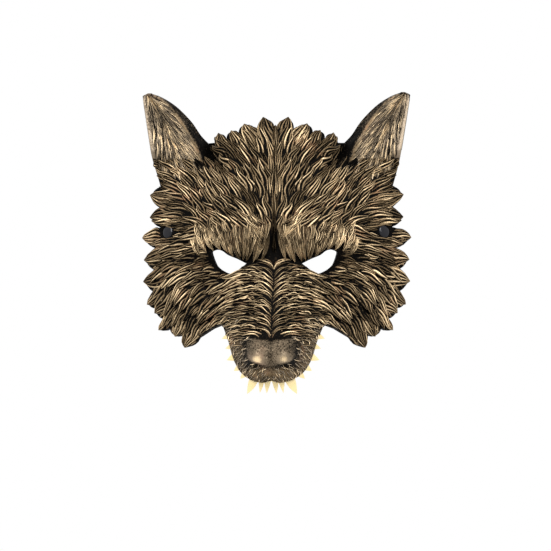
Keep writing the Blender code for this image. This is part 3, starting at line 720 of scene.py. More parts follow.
@dataclass(frozen=True)
class DryBrush:
    """Bronze and gold rubbed over a dark ground, strongest on the ridges. The bright gold on the crests is
    partly a painted highlight, and the dark ground left in the grooves is partly painted shade.
    """

    name: str = "Dry brush"
    values: tuple = (
        ("Ridge", 0.5), ("Age", 0.0), ("Amount", 1.0), ("Grain Scale", 900.0), ("Patch Scale", 70.0),
    )
    colours: tuple = (
        ("Ground", (0.0016, 0.0013, 0.0011, 1.0)), ("Bronze", (0.17, 0.118, 0.062, 1.0)),
        # Gold: real gold paint, brightened into a painted highlight on the crests.
        ("Gold", (0.84, 0.64, 0.38, 1.0)), ("Copper", (0.25, 0.125, 0.065, 1.0)),
        ("Grey", (0.24, 0.20, 0.155, 1.0)),
    )
    grain_detail: float = 3.0
    patch_detail: float = 2.0
    patch_gain: tuple = (0.9, 0.55)
    grain_gain: tuple = (0.5, -0.25)
    bronze_ends: tuple = (0.14, 0.46)
    # The top of the rise turns to gold, partly a painted highlight.
    gold_highlight_ends: tuple = (0.46, 1.04)
    copper_ends: tuple = (0.36, 0.62)
    copper_grain: float = 0.3
    copper_most: float = 0.55

    def wire(self, group: bpy.types.NodeTree) -> None:
        """Build the effect in an empty group.

        Args:
            group: the group.
        """
        face = group.interface
        for rows, kind in ((self.values, "NodeSocketFloat"), (self.colours, "NodeSocketColor")):
            for name, value in rows:
                face.new_socket(name=name, in_out="INPUT", socket_type=kind).default_value = value
        face.new_socket(name="Colour", in_out="OUTPUT", socket_type="NodeSocketColor")
        face.new_socket(name="Cover", in_out="OUTPUT", socket_type="NodeSocketFloat")
        face.new_socket(name="Grain", in_out="OUTPUT", socket_type="NodeSocketFloat")
        wiring = Wiring(group)
        given = wiring.nodes.new("NodeGroupInput").outputs
        out = wiring.nodes.new("NodeGroupOutput").inputs
        grain = wiring.noise(given["Grain Scale"], self.grain_detail)
        patch = wiring.noise(given["Patch Scale"], self.patch_detail)
        patchiness = wiring.maths("MULTIPLY_ADD", patch, *self.patch_gain)
        rubbed = wiring.maths("MULTIPLY", given["Ridge"], given["Amount"])
        rubbed = wiring.maths("MULTIPLY", rubbed, patchiness)
        rubbed = wiring.maths("ADD", rubbed, wiring.maths("MULTIPLY_ADD", grain, *self.grain_gain))
        cover = wiring.ramp(rubbed, self.bronze_ends)
        coppery = wiring.maths("SUBTRACT", patch, wiring.maths("MULTIPLY", grain, self.copper_grain))
        coppery = wiring.maths("MULTIPLY", wiring.ramp(coppery, self.copper_ends), self.copper_most)
        colour = wiring.blend(coppery, given["Bronze"], given["Copper"])
        colour = wiring.blend(cover, given["Ground"], colour)
        colour = wiring.blend(wiring.maths("MULTIPLY", given["Age"], cover), colour, given["Grey"])
        # Gold over the crests, partly a painted highlight.
        colour = wiring.blend(wiring.ramp(rubbed, self.gold_highlight_ends), colour, given["Gold"])
        wiring.feed(colour, out["Colour"])
        wiring.feed(cover, out["Cover"])
        wiring.feed(grain, out["Grain"])


@dataclass(frozen=True)
class Mottle:
    """A faint cloudiness that moulded plastic has."""

    name: str = "Mottle"
    scale: float = 200.0
    detail: float = 4.0

    def wire(self, group: bpy.types.NodeTree) -> None:
        """Build the effect in an empty group.

        Args:
            group: the group.
        """
        face = group.interface
        scale = face.new_socket(name="Scale", in_out="INPUT", socket_type="NodeSocketFloat")
        scale.default_value = self.scale
        face.new_socket(name="Cloud", in_out="OUTPUT", socket_type="NodeSocketFloat")
        wiring = Wiring(group)
        given = wiring.nodes.new("NodeGroupInput").outputs
        out = wiring.nodes.new("NodeGroupOutput").inputs
        wiring.feed(wiring.noise(given["Scale"], self.detail), out["Cloud"])


class EffectGroups:
    """The shader effects that finishes share, each built once."""

    def __init__(self) -> None:
        """Start with no group built."""
        self.built: dict[str, bpy.types.NodeTree] = {}

    def place(self, effect: DryBrush | Mottle, wiring: Wiring,
              **given: object) -> bpy.types.bpy_prop_collection:
        """Put an effect into a material.

        Args:
            effect: the effect.
            wiring: the material's wiring.
            given: what its inputs get, a number, a colour or a socket each.

        Returns:
            The effect's outputs.
        """
        if effect.name not in self.built:
            self.built[effect.name] = bpy.data.node_groups.new(effect.name, "ShaderNodeTree")
            effect.wire(self.built[effect.name])
        node = wiring.nodes.new("ShaderNodeGroup")
        node.node_tree = self.built[effect.name]
        for name, value in given.items():
            wiring.feed(value, node.inputs[name.replace("_", " ")])
        return node.outputs


def principled(name: str, **given: object) -> tuple[bpy.types.Material, Wiring, bpy.types.Node]:
    """Start a material.

    Args:
        name: its name.
        given: plain values for its shader.

    Returns:
        The material, its wiring and its Principled shader.
    """
    material = bpy.data.materials.new(name)
    material.use_nodes = True
    shader = material.node_tree.nodes["Principled BSDF"]
    for key, value in given.items():
        shader.inputs[key.replace("_", " ")].default_value = value
    return material, Wiring(material.node_tree), shader


@dataclass(frozen=True)
class AntiqueBronze:
    """Dark foam with antique bronze and gold rubbed over its ridges; the gold is partly a painted highlight
    and the dark grooves are partly painted shade.
    """

    name: str = "antique_bronze"
    amount: float = 1.0
    grain_scale: float = 900.0
    patch_scale: float = 70.0
    # Gold of the crests: real gold paint, partly a painted highlight.
    gold: tuple = (0.82, 0.62, 0.37, 1.0)
    bronze: tuple = (0.155, 0.108, 0.058, 1.0)
    rough: tuple = (0.50, 0.36)
    metal: float = 0.45
    gloss: float = 0.02
    bump_strength: float = 0.25
    bump_distance: float = 0.0004

    def make(self, effects: EffectGroups) -> bpy.types.Material:
        """Build the material.

        Args:
            effects: the shared shader groups.

        Returns:
            The material.
        """
        material, wiring, shader = principled(self.name, Specular_IOR_Level=self.gloss)
        brush = effects.place(
            DryBrush(), wiring, Ridge=wiring.attribute("ridge"), Age=wiring.attribute("age"),
            Amount=self.amount, Grain_Scale=self.grain_scale, Patch_Scale=self.patch_scale,
            Gold=self.gold, Bronze=self.bronze,
        )
        relief = wiring.relief(brush["Grain"], self.bump_strength, self.bump_distance)
        wiring.feed(brush["Colour"], shader.inputs["Base Color"])
        wiring.feed(wiring.maths("MULTIPLY", brush["Cover"], self.metal), shader.inputs["Metallic"])
        wiring.feed(wiring.between(brush["Cover"], self.rough), shader.inputs["Roughness"])
        wiring.feed(relief, shader.inputs["Normal"])
        return material


@dataclass(frozen=True)
class MouldedPlastic:
    """A plain moulded finish with a faint mottle in colour and gloss."""

    name: str
    colour: tuple
    shade: tuple
    mottle_scale: float
    rough: tuple
    bump_strength: float = 0.1
    bump_distance: float = 0.0003
    gloss: float = 0.5

    def make(self, effects: EffectGroups) -> bpy.types.Material:
        """Build the material.

        Args:
            effects: the shared shader groups.

        Returns:
            The material.
        """
        material, wiring, shader = principled(self.name, Specular_IOR_Level=self.gloss)
        cloud = effects.place(Mottle(), wiring, Scale=self.mottle_scale)["Cloud"]
        relief = wiring.relief(cloud, self.bump_strength, self.bump_distance)
        wiring.feed(wiring.blend(cloud, self.colour, self.shade), shader.inputs["Base Color"])
        wiring.feed(wiring.between(cloud, self.rough), shader.inputs["Roughness"])
        wiring.feed(relief, shader.inputs["Normal"])
        return material


@dataclass(frozen=True)
class WovenElastic:
    """Black woven elastic with ribs across the band."""

    name: str = "woven_elastic"
    rib_scale: float = 900.0
    rib_distortion: float = 0.6
    rib_detail: float = 2.0
    shades: tuple = ((0.004, 0.004, 0.005, 1.0), (0.018, 0.018, 0.020, 1.0))
    rough: float = 0.85
    sheen: float = 0.08
    gloss: float = 0.2
    bump_strength: float = 0.5
    bump_distance: float = 0.0003

    def make(self) -> bpy.types.Material:
        """Build the material.

        Returns:
            The material.
        """
        material, wiring, shader = principled(
            self.name, Roughness=self.rough, Sheen_Weight=self.sheen, Specular_IOR_Level=self.gloss,
        )
        ribs = wiring.nodes.new("ShaderNodeTexWave")
        ribs.bands_direction = "Z"
        ribs.inputs["Scale"].default_value = self.rib_scale
        ribs.inputs["Distortion"].default_value = self.rib_distortion
        ribs.inputs["Detail"].default_value = self.rib_detail
        wiring.feed(wiring.place, ribs.inputs["Vector"])
        ramp = wiring.nodes.new("ShaderNodeValToRGB")
        for element, shade in zip(ramp.color_ramp.elements, self.shades):
            element.color = shade
        relief = wiring.relief(ribs.outputs["Fac"], self.bump_strength, self.bump_distance)
        wiring.feed(ribs.outputs["Fac"], ramp.inputs["Fac"])
        wiring.feed(ramp.outputs["Color"], shader.inputs["Base Color"])
        wiring.feed(relief, shader.inputs["Normal"])
        return material


@dataclass
class MaskSkin:
    """The moulded ground under the fur, with the nose, the ear bowls and the smooth inside."""

    form: MaskForm
    outline: Outline
    front_spacing: float = 0.0019
    fine_spacing: float = 0.0011
    back_spacing: float = 0.0042
    edge_gap: float = 0.6
    fine_reach: float = 0.4
    fine_spill: float = 1.1
    merge_distance: float = 1e-7
    ring_sides: int = 32
    sharp_angle: float = 50.0
    nose_edge: tuple = (0.25, 0.7)
    nose_rub: float = 0.26
    # A painted highlight on each lobe of the nose, then painted shade in the nostrils.
    nose_highlights_and_nostril_shade: tuple = (
        Swelling(0.62, 0.095, 0.038, 0.82, 0.04), Swelling(-0.35, 0.105, 0.045, 0.875, 0.024),
    )
    ear_start: tuple = (0.46, 0.56)
    ear_rub: float = 0.24
    ear_rim_rub: float = 0.40
    ear_rims: tuple = ((1.0, 0.72, 0.06), (0.6, 0.02, 0.04))
    ear_band: tuple = (0.76, 0.86)
    ear_band_fade: float = 0.7
    ear_band_top: tuple = (0.66, 0.84)
    muzzle_rub: float = 0.10
    lip_rub: float = 0.22
    muzzle_side: tuple = (0.45, 0.85)
    lip_start: tuple = (0.50, 0.70)
    lip_foot: tuple = (0.84, 0.92)
    ear_age: float = 0.7
    nose_age: float = 0.45
    ear_bright_rim: tuple = (0.76, 0.08)

    def hole_ring(self, side: int, radius: float, depth: float) -> np.ndarray:
        """Points round a strap hole's axis.

        Args:
            side: -1 for the left hole, 1 for the right one.
            radius: how far they lie from the axis.
            depth: how far they lie behind the front.

        Returns:
            Rows of x, y and z.
        """
        form = self.form
        place = np.array([[side * form.strap_hole_spacing / 2, form.strap_hole_height]])
        centre = form.points(place, np.zeros(1))[0]
        axis = form.normals(place)[0]
        along = np.cross(np.array([0.0, 0.0, 1.0]), axis)
        along = along / np.linalg.norm(along)
        across = np.cross(axis, along)
        angles = np.linspace(0.0, 2 * np.pi, self.ring_sides, endpoint=False)[:, None]
        return centre + (np.cos(angles) * along + np.sin(angles) * across) * radius - axis * depth

    def sheet(self, loops: list[np.ndarray], inner: np.ndarray, gap: float) -> tuple[np.ndarray, list]:
        """Triangles of a sheet with holes.

        Args:
            loops: the outline first, then the holes.
            inner: points for the inside of the sheet.
            gap: how far they keep from the edges.

        Returns:
            The flat points, loops first, and the triangles.
        """
        keep = inside_loop(inner, loops[0])
        for index, loop in enumerate(loops):
            if index:
                keep &= ~inside_loop(inner, loop)
            keep &= distance_to_loop(inner, loop) > gap
        flat = np.concatenate(loops + [inner[keep]])
        edges = []
        start = 0
        for loop in loops:
            edges += [(start + i, start + (i + 1) % len(loop)) for i in range(len(loop))]
            start += len(loop)
        result = delaunay_2d_cdt([Vector(row) for row in flat], edges, [], 0, self.merge_distance)
        order = [origin[0] for origin in result[3]]
        faces = [[order[i] for i in face] for face in result[2]]
        middles = np.array([flat[face].mean(axis=0) for face in faces])
        shown = inside_loop(middles, loops[0])
        for loop in loops[1:]:
            shown &= ~inside_loop(middles, loop)
        return flat, [face for face, kept in zip(faces, shown) if kept]

    def on_muzzle(self, points: np.ndarray) -> np.ndarray:
        """Which points lie on the muzzle."""
        across, _, down = self.form.shares(points)
        return (down > 0.0) & (across < self.form.muzzle.half_width(down) * self.fine_spill)

    def inner_points(self, spacing: float, fine: float) -> np.ndarray:
        """Points over the mask, closer together on the muzzle.

        Args:
            spacing: the distance between neighbours.
            fine: that distance on the muzzle.

        Returns:
            Rows of x and z.
        """
        form = self.form
        reach = self.fine_reach * form.half_width
        high = (form.half_width, form.eye_to_ear_tip)
        coarse = hex_points(spacing, (-form.half_width, -form.eye_to_lip), high)
        close = hex_points(fine, (-reach, -form.eye_to_lip), (reach, 0.0))
        return np.concatenate([coarse[~self.on_muzzle(coarse)], close[self.on_muzzle(close)]])

    def nose_share(self, flat: np.ndarray) -> np.ndarray:
        """1 on the leather of the nose, 0 off it.

        Args:
            flat: rows of x and z.

        Returns:
            A share for each.
        """
        across, _, down = self.form.shares(flat)
        nose = self.form.nose
        return smooth_step(*self.nose_edge, nose.rise(across, down) / nose.height) * (down > nose.top_down)

    def ridge_values(self, flat: np.ndarray) -> np.ndarray:
        """How much bronze the bare ground catches: the nose most, the ears some, the rest little. On the nose
        this adds a painted highlight on each lobe and painted shade in the nostrils.

        Args:
            flat: rows of x and z.

        Returns:
            A value for each.
        """
        across, up, down = self.form.shares(flat)
        share = self.form.ear.share(across, up)
        on_ear = self.form.ear.turn(across, up) * smooth_step(*self.ear_start, up)
        rim = sum(strength * bump(share, middle, size) for strength, middle, size in self.ear_rims)
        band = smooth_step(*self.ear_band, share)
        band = band * (1.0 - self.ear_band_fade * smooth_step(*self.ear_band_top, up))
        ear = on_ear * (self.ear_rub + self.ear_rim_rub * rim) * (1.0 - band)
        # Painted highlights on the nose's lobes and painted shade in its nostrils.
        spots = sum(spot.over(across, down) for spot in self.nose_highlights_and_nostril_shade)
        nose = np.maximum(self.nose_share(flat) * (self.nose_rub + spots), 0.0)
        return np.maximum(np.maximum(nose, ear), self.lip_values(flat))

    def lip_values(self, flat: np.ndarray) -> np.ndarray:
        """The faint grey rub on the sides of the muzzle and the lip.

        Args:
            flat: rows of x and z.

        Returns:
            A value for each.
        """
        across, _, down = self.form.shares(flat)
        side = smooth_step(*self.muzzle_side, across / self.form.muzzle.half_width(down))
        rub = np.maximum(side, smooth_step(*self.lip_foot, down))
        return self.muzzle_rub + self.lip_rub * smooth_step(*self.lip_start, down) * rub

    def age_values(self, flat: np.ndarray) -> np.ndarray:
        """How grey the rubbed bronze is: the ears and the sides of the nose.

        Args:
            flat: rows of x and z.

        Returns:
            A value for each.
        """
        across, up, _ = self.form.shares(flat)
        rim = bump(self.form.ear.share(across, up), *self.ear_bright_rim)
        ear = self.form.ear.turn(across, up) * (1.0 - rim)
        return np.maximum(self.ear_age * ear, self.nose_age * self.nose_share(flat))

    def build(self, material: bpy.types.Material) -> bpy.types.Object:
        """Build the ground as one closed piece.

        Args:
            material: its finish.

        Returns:
            The piece, which stands for the CAD shell.
        """
        form = self.form
        outline = self.outline.whole()
        eyes = [self.outline.eye(-1), self.outline.eye(1)]
        radius = form.recess_radius
        rings = [self.hole_ring(side, radius, 0.0)[:, [0, 2]] for side in (-1, 1)]
        loops = [outline] + eyes
        front_inner = self.inner_points(self.front_spacing, self.fine_spacing)
        back_inner = self.inner_points(self.back_spacing, self.fine_spacing * 2)
        front_flat, front_faces = self.sheet(loops + rings, front_inner, self.fine_spacing * self.edge_gap)
        back_flat, back_faces = self.sheet(loops + rings, back_inner, self.fine_spacing)
        front = form.points(front_flat, np.zeros(len(front_flat)))
        back = form.points(back_flat, np.full(len(back_flat), -form.wall), False)
        edge_count = sum(len(loop) for loop in loops)
        sides = self.ring_sides
        for index, side in enumerate((-1, 1)):
            at = edge_count + index * sides
            front[at:at + sides] = self.hole_ring(side, radius, 0.0)
            back[at:at + sides] = self.hole_ring(side, radius, form.wall)
        shift = len(front)
        faces = front_faces + [[shift + i for i in reversed(face)] for face in back_faces]
        start = 0
        for loop in loops + rings:
            for i in range(len(loop)):
                j = (i + 1) % len(loop)
                faces.append([start + i, start + j, shift + start + j, shift + start + i])
            start += len(loop)
        mesh = bpy.data.meshes.new("mask_ground")
        mesh.from_pydata(np.concatenate([front, back]).tolist(), [], faces)
        add_value(mesh, "ridge", np.concatenate([self.ridge_values(front_flat), np.zeros(len(back))]))
        add_value(mesh, "age", np.concatenate([self.age_values(front_flat), np.zeros(len(back))]))
        work = bmesh.new()
        work.from_mesh(mesh)
        bmesh.ops.recalc_face_normals(work, faces=work.faces)
        work.to_mesh(mesh)
        work.free()
        mesh.shade_smooth()
        mesh.set_sharp_from_angle(angle=math.radians(self.sharp_angle))
        piece = new_piece("mask_ground", mesh, material)
        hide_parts("mask_shell")
        return piece


@dataclass(frozen=True)
class Lock:
    """One pointed lock of strands that lies along a path in the front view. Lengths in metres."""

    path: np.ndarray
    half_width: float
    strands: int = 3
    root_height: float = -0.0008
    tip_height: float = 0.0026
    crown: float = 0.0009
    groove: float = 0.0013
    tone: float = 1.0
    age: float = 0.0
    root_share: float = 0.55
    seed: int = 0


@dataclass
class LockBatch:
    """Gathers locks and makes one closed mesh of them over the form.

    Pairs are the ends of a random range or of a smooth rise.
    """

    form: MaskForm
    locks: list[Lock] = field(default_factory=list)
    floor: float = -0.0013
    strand_parts: tuple = (
        (0.00, 0.00), (0.20, 0.25), (0.36, 0.80), (0.50, 1.00), (0.64, 0.80), (0.80, 0.25),
    )
    cut_shifts: tuple = (-0.16, 0.16)
    strengths: tuple = (0.40, 1.15)
    swell: float = 1.5
    taper_power: float = 2.4
    tip_power: float = 0.75
    least_width: float = 0.04
    sway_size: float = 0.10
    sway_turns: float = 2.2
    sway_starts: tuple = (0.0, 6.3)
    lift_end: float = 0.82
    lift_power: float = 1.15
    tip_drop: float = 0.25
    root_rise: float = 0.2
    tip_fade: tuple = (0.7, 1.0)
    tip_fade_share: float = 0.6
    weak_strand: float = 0.5
    rub_start: tuple = (0.05, 0.55)
    # Power that narrows the gold to a thin line on each crest, partly a painted highlight.
    rub_and_highlight_power: float = 1.7
    root_rub: float = 0.45
    sharp_angle: float = 75.0

    def columns(self, lock: Lock, draw: random.Random) -> tuple[np.ndarray, np.ndarray, np.ndarray]:
        """Where a lock's columns lie across it.

        Args:
            lock: the lock.
            draw: its random draws.

        Returns:
            Places from -1 to 1, how high on its strand each lies, and how strong its strand is.
        """
        cuts = [-1.0]
        for strand in range(1, lock.strands):
            cuts.append(-1.0 + 2.0 * (strand + draw.uniform(*self.cut_shifts)) / lock.strands)
        cuts.append(1.0)
        across, crest, strength = [], [], []
        for low, high in zip(cuts, cuts[1:]):
            weight = draw.uniform(*self.strengths)
            for part, value in self.strand_parts:
                across.append(low + part * (high - low))
                crest.append(value)
                strength.append(weight)
        return np.array(across + [1.0]), np.array(crest + [0.0]), np.array(strength + [1.0])

    def grid(self, lock: Lock) -> tuple[np.ndarray, np.ndarray, np.ndarray]:
        """The top of a lock.

        Args:
            lock: the lock.

        Returns:
            Flat points, heights and ridge values, each with one row for each step along the lock.
        """
        draw = random.Random(lock.seed)
        path = lock.path
        direction = np.gradient(path, axis=0)
        direction = direction / np.linalg.norm(direction, axis=1, keepdims=True)
        shares = np.linspace(0.0, 1.0, len(path))
        width = np.maximum(1.0 - shares ** self.taper_power, 0.0) ** self.tip_power
        width = np.minimum(lock.root_share + self.swell * shares, 1.0) * width
        width = lock.half_width * np.maximum(width, self.least_width)
        across, crest, strength = self.columns(lock, draw)
        side = np.stack([-direction[:, 1], direction[:, 0]], axis=1)
        sway = self.sway_size * np.sin(np.pi * self.sway_turns * shares + draw.uniform(*self.sway_starts))
        reach = width[:, None] * (across[None, :] + sway[:, None])
        flat = path[:, None, :] + side[:, None, :] * reach[:, :, None]
        rise = np.minimum(shares / self.lift_end, 1.0) ** self.lift_power
        lift = lock.root_height + (lock.tip_height - lock.root_height) * rise
        lift = lift - (lock.tip_height * self.tip_drop) * smooth_step(self.lift_end, 1.0, shares)
        fade = 1.0 - self.tip_fade_share * smooth_step(*self.tip_fade, shares)
        envelope = np.minimum(shares / self.root_rise, 1.0) * fade
        arch = lock.crown * (1.0 - across ** 2)
        ridges = lock.groove * (crest * (self.weak_strand + (1.0 - self.weak_strand) * strength) - 1.0)
        height = lift[:, None] + envelope[:, None] * (arch + ridges)[None, :]
        rub = self.root_rub + (1.0 - self.root_rub) * smooth_step(*self.rub_start, shares)
        # High on the crests and 0 in the grooves: real dry brush over the black ground, and also painted
        # shade in the grooves; the power narrows the gold to a thin line that is partly a painted highlight.
        ridge = (crest ** self.rub_and_highlight_power * strength)[None, :] * rub[:, None] * lock.tone
        return flat, height, ridge

    def build(self, name: str, material: bpy.types.Material) -> bpy.types.Object:
        """Make the piece.

        Args:
            name: the piece's name.
            material: its finish.

        Returns:
            The new piece.
        """
        flats, heights, ridges, ages, faces = [], [], [], [], []
        start = 0
        for lock in self.locks:
            flat, height, ridge = self.grid(lock)
            rows, columns = height.shape
            count = rows * columns
            edges = flat[:, [0, -1], :].reshape(-1, 2)
            flats += [flat.reshape(-1, 2), edges]
            heights += [height.reshape(-1), np.full(len(edges), self.floor)]
            ridges += [ridge.reshape(-1), np.zeros(len(edges))]
            ages.append(np.full(count + len(edges), lock.age))
            low = start + count
            for row in range(rows - 1):
                here = start + row * columns
                for a in range(here, here + columns - 1):
                    faces.append((a, a + 1, a + columns + 1, a + columns))
                left = low + row * 2
                faces.append((left, here, here + columns, left + 2))
                faces.append((here + columns - 1, left + 1, left + 3, here + 2 * columns - 1))
                faces.append((left + 1, left, left + 2, left + 3))
            last = low - columns
            faces.append((low, low + 1, *reversed(range(start, start + columns))))
            faces.append((low + 2 * rows - 1, low + 2 * rows - 2, *range(last, last + columns)))
            start = low + len(edges)
        points = self.form.points(np.concatenate(flats), np.concatenate(heights))
        mesh = bpy.data.meshes.new(name)
        mesh.from_pydata(points.tolist(), [], faces)
        add_value(mesh, "ridge", np.concatenate(ridges))
        add_value(mesh, "age", np.concatenate(ages))
        mesh.shade_smooth()
        mesh.set_sharp_from_angle(angle=math.radians(self.sharp_angle))
        return new_piece(name, mesh, material)



@dataclass
class FurFlow:
    """The way the fur lies over the right half: places in shares of the form and angles in degrees."""

    form: MaskForm
    rows: tuple = (
        (0.000, 0.445, 90), (0.000, 0.705, 90), (0.080, 0.794, 78), (0.210, 0.778, 52), (0.337, 0.723, 52),
        (0.427, 0.694, 58), (0.215, 0.558, 62), (0.330, 0.498, 50), (0.480, 0.527, 55), (0.140, 0.439, 80),
        (0.215, 0.350, 60), (0.367, 0.379, 45), (0.518, 0.379, 48), (0.290, 0.290, 42), (0.065, 0.290, 66),
        (0.010, 0.200, 88), (0.290, 0.220, 35), (0.480, 0.290, 45), (0.777, 0.396, 17), (0.737, 0.302, 5),
        (0.818, 0.175, -8), (0.697, 0.459, 50), (0.577, 0.459, 70), (0.609, 0.364, 68), (0.545, 0.270, 55),
        (0.640, 0.270, 25), (0.674, 0.168, -12), (0.645, 0.076, 0), (0.822, 0.030, -8), (0.674, -0.010, -12),
        (0.880, -0.104, -35), (0.586, -0.104, -12), (0.733, -0.170, -33), (0.733, -0.257, -42),
        (0.880, -0.303, -58), (0.633, -0.323, -48), (0.804, -0.456, -68), (0.550, -0.357, -50),
        (0.598, -0.590, -66), (0.527, -0.456, -52), (0.438, -0.277, -28), (0.380, -0.410, -25),
        (0.497, -0.523, -50), (0.468, -0.090, -15),
    )
    nearest: float = 9e-6
    fall_power: float = 1.6
    curl_middle: float = 0.4
    wave_turns: float = 7.5

    def __post_init__(self) -> None:
        """Work out the places and directions once."""
        angles = np.radians([row[2] for row in self.rows])
        self.places = np.array([self.form.spot(row[0], row[1]) for row in self.rows])
        self.ways = np.stack([np.cos(angles), np.sin(angles)], axis=1)

    def angle(self, place: np.ndarray) -> float:
        """The fur's angle.

        Args:
            place: x and z of a place on the right half.

        Returns:
            The angle in radians, from the x axis.
        """
        gaps = np.sum((self.places - place) ** 2, axis=1)
        weights = 1.0 / (gaps + self.nearest) ** self.fall_power
        way = weights @ self.ways
        return math.atan2(way[1], way[0])

    def stream(self, root: np.ndarray, length: float, offset: float, curl: float, wave: float,
               steps: int = 12) -> np.ndarray:
        """A path that starts at a root and follows the fur.

        Args:
            root: where it starts.
            length: how long it is.
            offset: how far it turns from the fur's way all along.
            curl: how far it has turned on top of that at its tip.
            wave: how far it sways to both sides on its way.
            steps: the number of steps.

        Returns:
            The path's points.
        """
        points = [np.array(root, dtype=float)]
        for step in range(steps):
            share = (step + 0.5) / steps
            angle = self.angle(points[-1]) + offset + curl * (share - self.curl_middle)
            angle += wave * math.sin(self.wave_turns * share)
            points.append(points[-1] + np.array([math.cos(angle), math.sin(angle)]) * length / steps)
        return np.array(points)


def bent_path(root: Sequence[float], tip: Sequence[float], bend: float, steps: int = 12) -> np.ndarray:
    """A path from a root to a tip that bows sideways.

    Args:
        root: where it starts.
        tip: where it ends.
        bend: how far it bows, as a share of its length.
        steps: the number of steps.

    Returns:
        The path's points.
    """
    root = np.array(root, dtype=float)
    tip = np.array(tip, dtype=float)
    along = tip - root
    side = np.array([-along[1], along[0]])
    shares = np.linspace(0.0, 1.0, steps + 1)[:, None]
    return root + along * shares + side * bend * np.sin(np.pi * shares)


def turning_path(root: Sequence[float], start: float, end: float, length: float, steps: int = 9,
                 wave: float = 0.0) -> np.ndarray:
    """A path that turns evenly from one angle to another and sways on its way.

    Args:
        root: where it starts.
        start: its angle there.
        end: its angle at the tip.
        length: how long it is.
        steps: the number of steps.
        wave: how far it sways to both sides.

    Returns:
        The path's points.
    """
    points = [np.array(root, dtype=float)]
    for step in range(steps):
        share = (step + 0.5) / steps
        angle = start + (end - start) * share + wave * math.sin(PATH_SWAY * share)
        points.append(points[-1] + np.array([math.cos(angle), math.sin(angle)]) * length / steps)
    return np.array(points)


